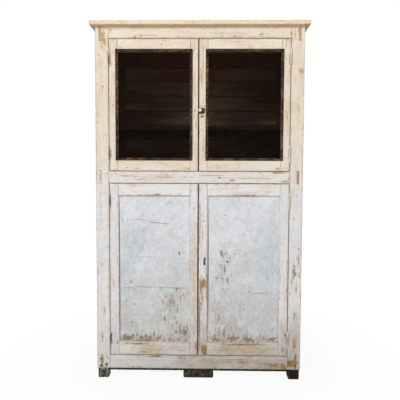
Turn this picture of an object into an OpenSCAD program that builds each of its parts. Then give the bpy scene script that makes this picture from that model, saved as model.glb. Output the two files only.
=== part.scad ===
// Buffet hutch: a painted pine pantry cupboard with wire screen doors above and panelled doors below.
// Millimetres, +Z up, the front faces -Y, the origin is on the floor under the middle of the part.

/* [Case] */
// Width of the case across the outsides of the posts
case_w = 1150; // [1050:10:1300]
// Depth from the faces of the front posts to the outsides of the back boards
case_d = 520; // [440:10:620]
// Height from the floor to the upper face of the top board
overall_h = 1993; // [1900:1:2100]
// Width of a post, seen from the front
post_w = 73; // [68:1:85]
// Depth of a front post
front_post_d = 45; // [42:1:60]
// Depth of a rear post
rear_post_d = 54; // [50:1:70]
// Height of the underside of the middle rail above the floor
mid_rail_z = 1111; // [950:1:1250]
// Height of the top rail
top_rail_h = 66; // [50:1:90]
// Height of the middle rail
mid_rail_h = 66; // [50:1:90]
// Height of the base rail
base_rail_h = 77; // [70:1:110]
// Thickness of the three front rails
front_rail_t = 38; // [37:1:41]
// Thickness of the top board
top_t = 23; // [22:1:45]
// Overhang of the top board past the posts, at the front and the sides
top_over = 26; // [5:1:28]
// Radius of the top board's rounded edges
nose_r = 3; // [2:1:10]

/* [Sides] */
// Thickness of a side rail
side_rail_t = 30; // [20:1:32]
// Distance of the side rails behind the outer faces of the posts
side_rail_set = 12; // [4:1:14]
// Thickness of the tenons of the side rails
side_tenon_t = 14; // [8:1:16]
// Height of the upper side rails
side_top_h = 79; // [60:1:110]
// Height of the middle side rails
side_mid_h = 74; // [60:1:110]
// Height of the lower side rails
side_base_h = 72; // [50:1:76]
// Step from the top of the upper side rails down to their tenons
haunch = 4; // [2:1:12]
// Length of the tenons of the side rails in the rear posts
rear_tenon_l = 40; // [20:1:44]
// Thickness of the side panels
side_panel_t = 10; // [6:1:12]
// Depth of the grooves that hold the side panels
side_groove = 8; // [4:1:12]

/* [Back] */
// Thickness of the back boards
board_t = 15; // [10:1:18]
// Pitch of the back boards
board_pitch = 95; // [70:1:140]
// Gap between two back boards
board_gap = 1; // [0.5:0.5:3]
// Width of the rebate in the rear posts that takes the ends of the back boards
board_rebate = 33; // [15:1:36]
// Thickness of the back rails
back_rail_t = 25; // [18:1:30]
// Height of the upper back rail
back_top_h = 78; // [50:1:110]
// Height of the middle back rail
back_mid_h = 70; // [50:1:100]
// Length of the tenons of the back rails
back_tenon_l = 20; // [10:1:28]

/* [Joinery] */
// Thickness of the tenons of the front and back rails
rail_tenon_t = 12; // [8:1:14]
// Length of the tenons of the front rails
rail_tenon_l = 28; // [15:1:30]
// Step from the edge of a front or back rail to its tenon
shoulder = 8; // [4:1:12]
// Clearance of a tenon or a panel in its mortise or groove
joint_fit = 0.3; // [0.1:0.1:0.5]

/* [Shelves] */
// Thickness of the floor, the deck and the shelves
shelf_t = 21; // [15:1:25]
// Height of the underside of the upper shelf above the floor
upper_shelf_z = 1413; // [1300:1:1600]
// Height of the underside of the lower shelf above the floor
lower_shelf_z = 580; // [400:1:600]
// Distance of the shelves' front edges behind the faces of the posts
shelf_set = 60; // [50:1:100]
// Width of a cleat
cleat_w = 20; // [12:1:26]
// Height of a cleat
cleat_h = 30; // [15:1:40]
// Gap round a shelf, where it fits between posts and sides
shelf_gap = 1; // [0.5:0.5:3]
// Height of a door stop
stop_h = 12; // [8:1:20]
// Length of a door stop
stop_l = 120; // [40:1:160]
// Distance of the door stops from the middle of the case
stop_x = 110; // [90:1:160]
// Gap between a closed door and its stop
stop_gap = 0.5; // [0.3:0.1:2]

/* [Feet] */
// Height of the four feet
foot_h = 57; // [45:1:80]
// Width of the straight front left foot
left_foot_w = 61; // [45:1:66]
// Width of the front right foot at the floor
right_foot_w = 62; // [45:1:66]
// Width of the other three feet at the top
foot_top_w = 69; // [67:1:73]
// Height of the straight lip at the top of a foot
foot_lip = 8; // [4:1:14]
// Depth of a foot
foot_d = 44; // [30:1:45]
// Chamfer of a foot's lower edges
foot_chamfer = 4; // [1:0.5:8]
// Height of the dark batten under the base rail
batten_h = 13; // [8:1:25]
// Thickness of the batten
batten_t = 28; // [15:1:30]
// Width of the block under the middle of the batten
block_w = 171; // [80:1:260]
// Depth of the block under the middle of the batten
block_d = 34; // [20:1:60]
// Distance of batten and block behind the faces of the posts
batten_set = 4; // [1:1:8]

/* [Doors] */
// Thickness of the door frames
door_t = 24; // [22:1:26]
// Gap between a door and the case
door_gap = 2; // [1.5:0.1:3]
// Gap between the two doors of a pair
centre_gap = 5; // [3:0.5:8]
// Distance of that gap to the left of the case's middle
centre_shift = 4; // [0:0.5:8]
// Width of the upper hinge stiles
upper_hinge_stile_w = 49; // [45:0.5:70]
// Width of the lower hinge stiles
lower_hinge_stile_w = 51; // [45:0.5:70]
// Width of the upper left meeting stile
upper_left_meeting_w = 44; // [42:0.5:60]
// Width of the lower left meeting stile
lower_left_meeting_w = 45; // [39:0.5:60]
// Width of the right meeting stiles
right_meeting_w = 50; // [48:0.5:65]
// Height of the upper doors' top rails
upper_top_rail_h = 68; // [50:0.5:90]
// Height of the upper doors' bottom rails
upper_bottom_rail_h = 71; // [50:0.5:100]
// Height of the lower doors' top rails
lower_top_rail_h = 70; // [50:0.5:100]
// Height of the lower doors' bottom rails
lower_bottom_rail_h = 73; // [50:0.5:110]
// Length of the tenons of the door rails
door_tenon_l = 28; // [15:1:32]
// Thickness of the tenons of the door rails
door_tenon_t = 7; // [5:0.5:8]
// Setback of the flat panels behind the faces of the lower doors
panel_set = 9; // [6:0.5:11]
// Thickness of the flat panels
panel_t = 9; // [6:0.5:9]
// Depth of the grooves that hold the flat panels
panel_groove = 10; // [6:0.5:12]
// Chamfer along the panel side of the lower doors' frames
frame_chamfer = 4; // [1:0.5:5]

/* [Screens] */
// Width of the front rebate that takes a wire screen and its beads
screen_rebate = 14; // [10:0.5:16]
// Depth of that rebate
rebate_d = 12; // [9:0.5:13]
// Width of the beads that hold the wire screens
bead_w = 15; // [14:0.5:20]
// Thickness of the beads
bead_t = 7; // [4:0.5:8]
// Thickness of a wire
wire_t = 1.4; // [1:0.1:2]
// Openings of a wire screen from side to side
screen_cols = 13; // [6:1:14]
// Openings of a wire screen from top to bottom
screen_rows = 19; // [8:1:20]

/* [Hinges] */
// Length of the butt hinges
hinge_l = 89; // [64:1:102]
// Distance of a hinge's middle from the edge of its opening
hinge_inset = 94; // [70:1:140]
// The same distance for the upper hinges of the lower doors
lower_top_hinge_inset = 102; // [70:1:140]
// Radius of a hinge's knuckles
knuckle_r = 4.5; // [3.5:0.1:4.6]
// Distance of the hinge axes in front of the doors' faces
hinge_out = 4.8; // [4.8:0.1:6]
// Width of a hinge leaf in its seat
leaf_w = 20; // [12:1:21]
// Thickness of a hinge leaf
leaf_t = 1.6; // [1.2:0.1:2]
// Radius of a hinge pin
pin_r = 2.2; // [1.8:0.1:2.4]
// Radius of a hinge pin's head
pin_head_r = 3.4; // [3:0.1:4]
// Height of a hinge pin's head
pin_head_h = 1.5; // [1:0.1:3]
// Running clearance of the pins, spindle and bolts in their bores
running_fit = 0.08; // [0.04:0.01:0.1]
// Gap between hinge parts that turn past each other
turn_gap = 0.3; // [0.2:0.05:0.4]

/* [Cupboard turn] */
// Height of the porcelain knob's middle above the floor
knob_z = 1511; // [1480:1:1560]
// Distance of the knob's middle from the right doors' edge
knob_inset = 6.5; // [6:0.5:9]
// Diameter of the porcelain knob
knob_d = 19; // [14:0.5:26]
// Distance from the cover to the knob's ball
knob_neck = 4; // [2:0.5:8]
// Radius of the spindle
spindle_r = 3; // [2.5:0.1:3.5]
// Length of the tongue from the spindle's axis
tongue_l = 15.5; // [14.5:0.5:16]
// Width of the tongue
tongue_w = 6; // [4:0.5:8]
// Thickness of the tongue
tongue_t = 2.5; // [2:0.1:3]
// Thickness of the iron plates
plate_t = 1.5; // [1:0.1:2]
// Room before and behind the tongue
tongue_room = 0.6; // [0.3:0.1:1]
// Width of the turn's iron case
turn_w = 35; // [30:0.5:40]
// Height of the turn's iron case
turn_h = 31; // [30:0.5:36]
// Width of the keeper on the left door
keeper_w = 15.5; // [12:0.5:20]
// Height of the keeper
keeper_h = 27; // [26:0.5:34]

/* [Lock] */
// Height of the middle of the lock above the floor
lock_z = 667; // [640:1:760]
// Width of the lock case
lock_w = 44; // [42:0.5:46]
// Height of the lock case
lock_h = 70; // [60:1:90]
// Depth of the lock case
lock_t = 12; // [10:0.5:14]
// Height of the lock's bolt
lock_bolt_h = 14; // [8:0.5:18]
// Thickness of the lock's bolt
lock_bolt_t = 6; // [4:0.5:7]
// Throw of the lock's bolt
lock_throw = 12; // [10:0.5:14]
// Distance of the keyhole from the right doors' edge
key_inset = 33; // [30:0.5:36]
// Radius of the keyhole
key_r = 4; // [3:0.1:5]
// Width of the keyhole's slot
key_slot_w = 3.5; // [2:0.1:4]
// Length of the keyhole's slot below its round end
key_slot_l = 14; // [10:0.5:16]
// Radius of the escutcheon's round top
escutcheon_r = 9.5; // [8:0.5:12]
// Height of the escutcheon
escutcheon_h = 46; // [36:0.5:56]

/* [Shoot bolts] */
// Distance of a shoot bolt from the left doors' edge
shoot_inset = 20; // [16:0.5:22]
// Radius of a shoot bolt's rod
rod_r = 4; // [3:0.1:4.5]
// Length of a shoot bolt's rod
rod_l = 110; // [100:1:140]
// Travel of a shoot bolt
shoot_travel = 14; // [10:0.5:18]
// Height of a shoot bolt's back plate
shoot_plate_h = 96; // [90:1:100]
// Width of a shoot bolt's back plate
shoot_plate_w = 24; // [18:0.5:30]
// Height of a guide
guide_h = 10; // [6:0.5:12]
// Wall of a guide round the rod
guide_wall = 2.2; // [1.5:0.1:3]
// Clearance of the rod's end in its hole in the rail
hole_gap = 1; // [0.5:0.1:1.5]

/* [Hidden] */
$fn = 64;

// What every cut runs past the face that it leaves
cut = 1;

// Heights
post_top = overall_h - top_t;
post_h = post_top - foot_h;
base_top = foot_h + base_rail_h;
top_rail_z = post_top - top_rail_h;
mid_top = mid_rail_z + mid_rail_h;

// Widths, counted outwards from the middle of the case
post_x = case_w / 2;
jamb_x = post_x - post_w;
foot_out = jamb_x + foot_top_w;
side_out = post_x - side_rail_set;
side_in = side_out - side_rail_t;
side_mid = (side_in + side_out) / 2;

// Depths, counted back from the faces of the front posts
rear_post_y = case_d - rear_post_d;
board_y = case_d - board_t;
back_rail_y = board_y - back_rail_t;

// Rails of a side, each as its lower edge, its height and the step above its tenon
side_rows = [
    [post_top - side_top_h, side_top_h, haunch],
    [mid_rail_z + mid_rail_h / 2 - side_mid_h / 2, side_mid_h, 0],
    [base_top - side_base_h, side_base_h, 0]
];

// Rails of the back, each as its lower edge and its height
deck_z = mid_top - shelf_t;
floor_z = base_top - shelf_t;
back_rows = [
    [post_top - back_top_h, back_top_h],
    [deck_z - back_mid_h, back_mid_h],
    [foot_h, floor_z - foot_h]
];

// Rails of the front, each as its lower edge and its height
front_rows = [
    [top_rail_z, top_rail_h],
    [mid_rail_z, mid_rail_h],
    [foot_h, base_rail_h]
];

// Doors: a row is its opening's lower edge, upper edge and the insets of its two hinges
UPPER = [mid_top, top_rail_z, hinge_inset, hinge_inset];
LOWER = [base_top, mid_rail_z, hinge_inset, lower_top_hinge_inset];
door_out = jamb_x - door_gap;
function door_in(side) = centre_gap / 2 - side * centre_shift;
function door_z0(row) = row[0] + door_gap;
function door_z1(row) = row[1] - door_gap;
function hinge_zs(row) = [row[0] + row[2], row[1] - row[3]];
function hinge_stile_w(row) = row == UPPER ? upper_hinge_stile_w : lower_hinge_stile_w;
function meeting_w(side, row) =
    side > 0 ? right_meeting_w : row == UPPER ? upper_left_meeting_w : lower_left_meeting_w;
function light_x0(side, row) = door_in(side) + meeting_w(side, row);
function light_x1(row) = door_out - hinge_stile_w(row);
function light_z0(row) = door_z0(row) + (row == UPPER ? upper_bottom_rail_h : lower_bottom_rail_h);
function light_z1(row) = door_z1(row) - (row == UPPER ? upper_top_rail_h : lower_top_rail_h);

// Hinges
hinge_x = jamb_x - door_gap / 2;
knuckles = 5;
knuckle_l = hinge_l / knuckles;
leaf_gap = turn_gap / 2;

// Cupboard turn
knob_x = centre_gap / 2 - centre_shift + knob_inset;
turn_left = knob_x - 9;
cover_y = -(2 * plate_t + tongue_t + 2 * tongue_room);
knob_y = cover_y - knob_neck - knob_d / 2;
hub_r = spindle_r + 2.5;
keeper_mouth = 1.2;

// Lock
lock_x = centre_gap / 2 - centre_shift + 2.5;
key_x = centre_gap / 2 - centre_shift + key_inset;
key_z = lock_z - 4;
lock_bolt_z = lock_z + 15;
lock_bolt_y = door_t + 3;
lock_bolt_l = lock_w - lock_throw - 6;

// Shoot bolts
rod_x = centre_gap / 2 + centre_shift + shoot_inset;
rod_y = door_t + rod_r + guide_wall + joint_fit;
rod_top_gap = 2;
guide_drop = 12;
peg_r = 3;
peg_reach = 10;
peg_drop = 50;

// Depth from the knob's front to the back boards, and the faces of the front posts
reach = max(knob_d / 2 - knob_y, top_over);
face_y = -(case_d - reach) / 2;

// Colours
CREAM = "#cfc2a8";
BLUE_WHITE = "#b9bcb8";
WORN = "#b79a78";
INSIDE = "#5a4030";
DARK = "#2b2a28";
IRON = "#4a3b30";
WIRE = "#3c3029";
PORCELAIN = "#efece4";

// Puts a right-hand shape in the part's frame, mirrored for the left side
module in_place(side = 1) {
    translate([0, face_y, 0])
        if (side < 0)
            mirror([1, 0, 0]) children();
        else
            children();
}

// A block given by its lowest and highest corners
module block(a, b) {
    translate(a) cube(b - a);
}

// Case joinery

module side_tenons(fit, over) {
    for (r = side_rows)
        block([side_mid - side_tenon_t / 2 - fit, -over, r[0] - fit],
              [side_mid + side_tenon_t / 2 + fit, rear_post_y + rear_tenon_l + fit, r[0] + r[1] - r[2] + fit]);
}

module side_panel_blocks(fit) {
    for (i = [0, 1])
        block([side_mid - side_panel_t / 2 - fit, front_post_d - side_groove - fit,
               side_rows[i + 1][0] + side_rows[i + 1][1] - side_groove - fit],
              [side_mid + side_panel_t / 2 + fit, rear_post_y + side_groove + fit,
               side_rows[i][0] + side_groove + fit]);
}

module front_rail_tenons(fit) {
    for (r = front_rows)
        block([jamb_x - cut, front_rail_t / 2 - rail_tenon_t / 2 - fit, r[0] + shoulder - fit],
              [jamb_x + rail_tenon_l + fit, front_rail_t / 2 + rail_tenon_t / 2 + fit, r[0] + r[1] - shoulder + fit]);
}

module back_rail_tenons(fit) {
    mid = (back_rail_y + board_y) / 2;
    for (r = back_rows)
        block([jamb_x - cut, mid - rail_tenon_t / 2 - fit, r[0] + shoulder - fit],
              [jamb_x + back_tenon_l + fit, mid + rail_tenon_t / 2 + fit, r[0] + r[1] - shoulder + fit]);
}

module front_post(side) {
    color(CREAM) in_place(side)
        difference() {
            block([jamb_x, 0, foot_h], [post_x, front_post_d, post_top]);
            side_tenons(joint_fit, cut);
            side_panel_blocks(joint_fit);
            front_rail_tenons(joint_fit);
            for (row = [UPPER, LOWER], z = hinge_zs(row))
                leaf_seat(z, hinge_x + leaf_gap, 1);
        }
}

module rear_post(side) {
    color(WORN) in_place(side)
        difference() {
            block([jamb_x, rear_post_y, foot_h], [post_x, case_d, post_top]);
            side_tenons(joint_fit, cut);
            side_panel_blocks(joint_fit);
            back_rail_tenons(joint_fit);
            block([jamb_x - cut, board_y, foot_h - cut], [jamb_x + board_rebate, case_d + cut, post_top + cut]);
        }
}

module front_rail(r) {
    block([-jamb_x, 0, r[0]], [jamb_x, front_rail_t, r[0] + r[1]]);
    for (side = [-1, 1])
        mirror([side < 0 ? 1 : 0, 0, 0])
            block([jamb_x - cut, front_rail_t / 2 - rail_tenon_t / 2, r[0] + shoulder],
                  [jamb_x + rail_tenon_l, front_rail_t / 2 + rail_tenon_t / 2, r[0] + r[1] - shoulder]);
}

// Blind hole in the underside of a rail for the shoot bolt below it
module shoot_hole(z) {
    translate([-rod_x, rod_y, z - cut])
        cylinder(r = rod_r + hole_gap, h = shoot_travel + cut + hole_gap);
}

module top_rail() {
    color(CREAM) in_place()
        difference() {
            front_rail(front_rows[0]);
            shoot_hole(top_rail_z);
        }
}

module mid_rail() {
    color(CREAM) in_place()
        difference() {
            front_rail(front_rows[1]);
            shoot_hole(mid_rail_z);
        }
}

module base_rail() {
    color(BLUE_WHITE) in_place() front_rail(front_rows[2]);
}

module side_rails(side) {
    color(CREAM) in_place(side)
        difference() {
            union() {
                side_tenons(0, 0);
                for (r = side_rows)
                    block([side_in, front_post_d, r[0]], [side_out, rear_post_y, r[0] + r[1]]);
            }
            side_panel_blocks(joint_fit);
        }
}

module side_panels(side) {
    color(BLUE_WHITE) in_place(side) side_panel_blocks(0);
}

module back_rails() {
    color(INSIDE) in_place() {
        mid = (back_rail_y + board_y) / 2;
        for (r = back_rows) {
            block([-jamb_x, back_rail_y, r[0]], [jamb_x, board_y, r[0] + r[1]]);
            block([-jamb_x - back_tenon_l, mid - rail_tenon_t / 2, r[0] + shoulder],
                  [jamb_x + back_tenon_l, mid + rail_tenon_t / 2, r[0] + r[1] - shoulder]);
        }
    }
}

module back_boards() {
    board_x = jamb_x + board_rebate - joint_fit;
    boards = floor((post_top - foot_h) / board_pitch);
    color(WORN) in_place()
        for (i = [0 : boards - 1])
            block([-board_x, board_y, post_top - (i + 1) * board_pitch],
                  [board_x, case_d, post_top - i * board_pitch - board_gap]);
}

// A strip's section with all four corners rounded
module rounded_section(w, h, r) {
    translate([r, 0]) square([w - 2 * r, h]);
    translate([0, r]) square([w, h - 2 * r]);
    for (x = [r, w - r], y = [r, h - r])
        translate([x, y]) circle(r);
}

module top_board() {
    full_w = case_w + 2 * top_over;
    full_d = case_d + top_over;
    color(WORN) in_place()
        intersection() {
            translate([-full_w / 2, -top_over, post_top])
                rotate([90, 0, 90])
                    linear_extrude(full_w) rounded_section(full_d + 2 * nose_r, top_t, nose_r);
            translate([-full_w / 2, case_d, post_top])
                rotate([90, 0, 0])
                    linear_extrude(full_d + cut) rounded_section(full_w, top_t, nose_r);
        }
}

// Inside

// Outline of a shelf, notched round the posts
module shelf_outline(front_y) {
    half = side_in - shelf_gap;
    difference() {
        translate([-half, front_y]) square([2 * half, board_y - shelf_gap / 2 - front_y]);
        for (x = [-half - cut, jamb_x - shelf_gap]) {
            translate([x, -cut]) square([half + cut - jamb_x + shelf_gap, front_post_d + shelf_gap + cut]);
            translate([x, rear_post_y - shelf_gap])
                square([half + cut - jamb_x + shelf_gap, case_d - rear_post_y]);
        }
    }
}

module shelf(z, front_y) {
    in_place() translate([0, 0, z]) linear_extrude(shelf_t) shelf_outline(front_y);
}

module floor_board() {
    color(INSIDE) shelf(floor_z, front_rail_t);
}

module mid_deck() {
    color(INSIDE) shelf(deck_z, front_rail_t);
}

module upper_shelf() {
    color(INSIDE) shelf(upper_shelf_z, shelf_set);
}

module lower_shelf() {
    color(INSIDE) shelf(lower_shelf_z, shelf_set);
}

module shelf_cleats() {
    color(INSIDE)
        for (side = [-1, 1], z = [floor_z, deck_z, upper_shelf_z, lower_shelf_z])
            in_place(side)
                block([side_in - cleat_w, front_post_d, z - cleat_h], [side_in, rear_post_y, z]);
}

module door_stops() {
    color(INSIDE)
        for (side = [-1, 1], z = [top_rail_z, mid_rail_z])
            in_place(side)
                block([stop_x, door_t + stop_gap, z - stop_h], [stop_x + stop_l, front_rail_t, z]);
}

// Feet

// A foot's front outline: straight outside, straight or tapered inside, with a lip under the post
module foot_outline(w, top_w) {
    polygon([
        [0, foot_chamfer], [foot_chamfer, 0],
        [w - foot_chamfer, 0], [w, foot_chamfer],
        [top_w, foot_h - foot_lip], [top_w, foot_h], [0, foot_h]
    ]);
}

module foot(side, w, top_w, y) {
    in_place(side)
        translate([foot_out, y + foot_d, 0])
            mirror([1, 0, 0]) rotate([90, 0, 0]) linear_extrude(foot_d) foot_outline(w, top_w);
}

module front_feet() {
    color(DARK) {
        foot(-1, left_foot_w, left_foot_w, 0);
        foot(1, right_foot_w, foot_top_w, 0);
    }
}

module rear_feet() {
    color(DARK)
        for (side = [-1, 1])
            foot(side, left_foot_w, foot_top_w, case_d - foot_d);
}

// Runs from the left foot to the right post's inner face
module base_batten() {
    color(DARK) in_place()
        block([left_foot_w - foot_out, batten_set, foot_h - batten_h],
              [jamb_x, batten_set + batten_t, foot_h]);
}

module centre_block() {
    color(DARK) in_place()
        block([-block_w / 2, batten_set, 0], [block_w / 2, batten_set + block_d, foot_h - batten_h]);
}

// Hinges

// Seat of a leaf, cut from the leaf's inner face at x into the wood on the side that dir points to
module leaf_seat(z, x, dir) {
    a = min(x, x + dir * leaf_t);
    block([a, -cut, z - hinge_l / 2 - joint_fit],
          [a + leaf_t, leaf_w + joint_fit, z + hinge_l / 2 + joint_fit]);
}

// One leaf with its knuckles, where dir is 1 for the leaf on the post and -1 for the leaf on the door
module hinge_leaf(z, dir) {
    first = dir > 0 ? 0 : 1;
    a = dir > 0 ? hinge_x + leaf_gap : hinge_x - leaf_gap - leaf_t;
    difference() {
        union() {
            block([a, -hinge_out, z - hinge_l / 2], [a + leaf_t, leaf_w, z + hinge_l / 2]);
            for (i = [first : 2 : knuckles - 1])
                translate([hinge_x, -hinge_out, z - hinge_l / 2 + i * knuckle_l])
                    cylinder(r = knuckle_r, h = knuckle_l);
        }
        for (i = [1 - first : 2 : knuckles - 1])
            translate([hinge_x, -hinge_out, z - hinge_l / 2 + i * knuckle_l - leaf_gap])
                cylinder(r = knuckle_r + turn_gap, h = knuckle_l + 2 * leaf_gap);
        translate([hinge_x, -hinge_out, z - hinge_l / 2 - cut])
            cylinder(r = pin_r + running_fit, h = hinge_l + 2 * cut);
    }
}

module case_hinge_leaves() {
    color(IRON)
        for (side = [-1, 1], row = [UPPER, LOWER], z = hinge_zs(row))
            in_place(side) hinge_leaf(z, 1);
}

module hinge_pins() {
    color(IRON)
        for (side = [-1, 1], row = [UPPER, LOWER], z = hinge_zs(row))
            in_place(side)
                translate([hinge_x, -hinge_out, 0]) {
                    translate([0, 0, z - hinge_l / 2]) cylinder(r = pin_r, h = hinge_l + cut);
                    translate([0, 0, z + hinge_l / 2]) cylinder(r = pin_head_r, h = pin_head_h);
                }
}

module door_hinge_leaves(side, row) {
    color(IRON)
        for (z = hinge_zs(row))
            in_place(side) hinge_leaf(z, -1);
}

// Door frames

// Tenons of a door's rails
module door_tenons(side, row, fit) {
    y0 = row == UPPER ? rebate_d + 1 : panel_set + panel_t / 2 - door_tenon_t / 2;
    x0 = light_x0(side, row);
    x1 = light_x1(row);
    edge = row == UPPER ? screen_rebate : panel_groove;
    for (z = [[door_z0(row) + shoulder, light_z0(row) - edge], [light_z1(row) + edge, door_z1(row) - shoulder]])
        block([x0 - door_tenon_l - fit, y0 - fit, z[0] - fit],
              [x1 + door_tenon_l + fit, y0 + door_tenon_t + fit, z[1] + fit]);
}

// Rebate of an upper door, or groove of a lower one
module door_recess(side, row) {
    if (row == UPPER)
        block([light_x0(side, row) - screen_rebate, -cut, light_z0(row) - screen_rebate],
              [light_x1(row) + screen_rebate, rebate_d, light_z1(row) + screen_rebate]);
    else
        panel_block(side, row, joint_fit);
}

// Square bar on edge that bevels the edge of a frame member of length l along +X
module bevel_bar(l) {
    c = frame_chamfer * sqrt(2);
    rotate([45, 0, 0]) translate([0, -c / 2, -c / 2]) cube([l, c, c]);
}

// Bevel along the panel side of a lower door's stile
module stile_bevel(row, x) {
    if (row == LOWER)
        translate([x, 0, light_z1(row)]) rotate([0, 90, 0]) bevel_bar(light_z1(row) - light_z0(row));
}

// Bevels along the panel sides of a lower door's rails
module rail_bevels(side, row) {
    x0 = light_x0(side, row) - cut;
    if (row == LOWER)
        for (z = [light_z0(row), light_z1(row)])
            translate([x0, 0, z]) bevel_bar(light_x1(row) + cut - x0);
}

module panel_block(side, row, fit) {
    block([light_x0(side, row) - panel_groove - fit, panel_set - fit, light_z0(row) - panel_groove - fit],
          [light_x1(row) + panel_groove + fit, panel_set + panel_t + fit, light_z1(row) + panel_groove + fit]);
}

module hinge_stile(side, row) {
    color(CREAM) in_place(side)
        difference() {
            block([light_x1(row), 0, door_z0(row)], [door_out, door_t, door_z1(row)]);
            door_tenons(side, row, joint_fit);
            door_recess(side, row);
            stile_bevel(row, light_x1(row));
            for (z = hinge_zs(row))
                leaf_seat(z, hinge_x - leaf_gap, -1);
        }
}

module meeting_stile(side, row) {
    color(CREAM) in_place(side)
        difference() {
            block([door_in(side), 0, door_z0(row)], [light_x0(side, row), door_t, door_z1(row)]);
            door_tenons(side, row, joint_fit);
            door_recess(side, row);
            stile_bevel(row, light_x0(side, row));
            children();
        }
}

module door_rails(side, row) {
    x0 = light_x0(side, row);
    x1 = light_x1(row);
    color(CREAM) in_place(side)
        difference() {
            union() {
                block([x0, 0, door_z0(row)], [x1, door_t, light_z0(row)]);
                block([x0, 0, light_z1(row)], [x1, door_t, door_z1(row)]);
                door_tenons(side, row, 0);
            }
            door_recess(side, row);
            rail_bevels(side, row);
        }
}

// Wire screens and their beads

module screen(side) {
    x0 = light_x0(side, UPPER);
    z0 = light_z0(UPPER);
    pitch_x = (light_x1(UPPER) - x0) / screen_cols;
    pitch_z = (light_z1(UPPER) - z0) / screen_rows;
    hem = screen_rebate - joint_fit;
    color(WIRE) in_place(side)
        translate([x0, rebate_d, z0])
            rotate([90, 0, 0])
                linear_extrude(wire_t)
                    difference() {
                        translate([-hem, -hem])
                            square([screen_cols * pitch_x + 2 * hem, screen_rows * pitch_z + 2 * hem]);
                        for (i = [0 : screen_cols - 1], j = [0 : screen_rows - 1])
                            translate([i * pitch_x + wire_t / 2, j * pitch_z + wire_t / 2])
                                square([pitch_x - wire_t, pitch_z - wire_t]);
                    }
}

module beads(side) {
    x0 = light_x0(side, UPPER) - screen_rebate + joint_fit;
    x1 = light_x1(UPPER) + screen_rebate - joint_fit;
    z0 = light_z0(UPPER) - screen_rebate + joint_fit;
    z1 = light_z1(UPPER) + screen_rebate - joint_fit;
    y1 = rebate_d - wire_t;
    y0 = y1 - bead_t;
    color(IRON) in_place(side) {
        for (x = [x0, x1 - bead_w])
            block([x, y0, z0], [x + bead_w, y1, z1]);
        for (z = [z0, z1 - bead_w])
            block([x0 + bead_w + joint_fit, y0, z], [x1 - bead_w - joint_fit, y1, z + bead_w]);
    }
}

module panel(side) {
    color(BLUE_WHITE) in_place(side) panel_block(side, LOWER, 0);
}

// Cupboard turn

// Lays an outline drawn in x and z on a door's face, from y0 forwards by t
module on_face(y0, t) {
    translate([0, y0, 0]) rotate([90, 0, 0]) linear_extrude(t) children();
}

// Plate with four round ears
module eared_plate() {
    ear = turn_h / 5;
    x0 = turn_left;
    z0 = knob_z - turn_h / 2;
    translate([x0, z0 + ear]) square([turn_w, turn_h - 2 * ear]);
    translate([x0 + ear, z0]) square([turn_w - 2 * ear, turn_h]);
    for (x = [x0 + ear, x0 + turn_w - ear], z = [z0 + ear, z0 + turn_h - ear])
        translate([x, z]) circle(ear);
}

module turn_case() {
    cover_w = knob_x - turn_left + hub_r + tongue_room + plate_t;
    cover_h = 2 * (hub_r + plate_t + tongue_room);
    depth = -cover_y - plate_t;
    color(IRON) in_place()
        difference() {
            union() {
                on_face(0, plate_t) eared_plate();
                on_face(-plate_t, depth) translate([turn_left, knob_z - cover_h / 2]) square([cover_w, cover_h]);
            }
            on_face(-plate_t, depth - plate_t) {
                translate([turn_left - cut, knob_z - cover_h / 2 - cut])
                    square([cover_w - plate_t + cut, cover_h - plate_t + cut]);
            }
            translate([knob_x, -plate_t, knob_z])
                rotate([90, 0, 0]) cylinder(r = spindle_r + running_fit, h = depth + cut);
        }
}

module turn_tongue() {
    tongue_y = -plate_t - tongue_room;
    color(IRON) in_place() {
        on_face(tongue_y, tongue_t) {
            translate([knob_x, knob_z]) circle(hub_r);
            translate([knob_x - tongue_w / 2, knob_z - tongue_l + tongue_w / 2])
                square([tongue_w, tongue_l - tongue_w / 2]);
            translate([knob_x, knob_z - tongue_l + tongue_w / 2]) circle(tongue_w / 2);
        }
        translate([knob_x, tongue_y, knob_z])
            rotate([90, 0, 0]) cylinder(r = spindle_r, h = tongue_y - knob_y);
    }
}

// Porcelain ball with a flared neck, turned round the spindle's axis
module porcelain_knob() {
    r = knob_d / 2;
    neck_r = spindle_r + 2;
    color(PORCELAIN) in_place()
        translate([knob_x, knob_y, knob_z])
            rotate([90, 0, 0])
                difference() {
                    union() {
                        sphere(r);
                        translate([0, 0, -r - knob_neck + 0.5]) cylinder(r = neck_r, h = knob_neck + r / 2);
                    }
                    translate([0, 0, -2 * r - knob_neck])
                        cylinder(r = spindle_r + running_fit, h = 2 * r + knob_neck);
                }
}

// Keeper with a round end, open towards the right door
module turn_keeper() {
    depth = 2 * plate_t + tongue_t + 2 * tongue_room;
    x1 = -centre_gap / 2 - centre_shift - 0.5;
    r = 6;
    x0 = x1 - keeper_w;
    z0 = knob_z - keeper_h / 2;
    color(CREAM) in_place()
        difference() {
            on_face(0, depth) {
                translate([x0 + r, z0]) square([keeper_w - r, keeper_h]);
                translate([x0, z0 + r]) square([keeper_w, keeper_h - 2 * r]);
                for (z = [z0 + r, z0 + keeper_h - r])
                    translate([x0 + r, z]) circle(r);
            }
            block([x0 + keeper_w / 3, -depth + plate_t, z0 + keeper_mouth],
                  [x1 + cut, -plate_t, z0 + keeper_h - keeper_mouth]);
        }
}

// Lock

module keyhole() {
    translate([key_x, key_z]) circle(key_r);
    translate([key_x - key_slot_w / 2, key_z - key_slot_l]) square([key_slot_w, key_slot_l]);
}

module escutcheon() {
    color(IRON) in_place()
        on_face(0, plate_t)
            difference() {
                union() {
                    translate([key_x, key_z]) circle(escutcheon_r);
                    translate([key_x, key_z - escutcheon_h + 2 * escutcheon_r]) circle(escutcheon_r * 0.75);
                    translate([key_x - escutcheon_r * 0.6, key_z - escutcheon_h + 2 * escutcheon_r])
                        square([escutcheon_r * 1.2, escutcheon_h - 2 * escutcheon_r]);
                }
                keyhole();
            }
}

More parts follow.
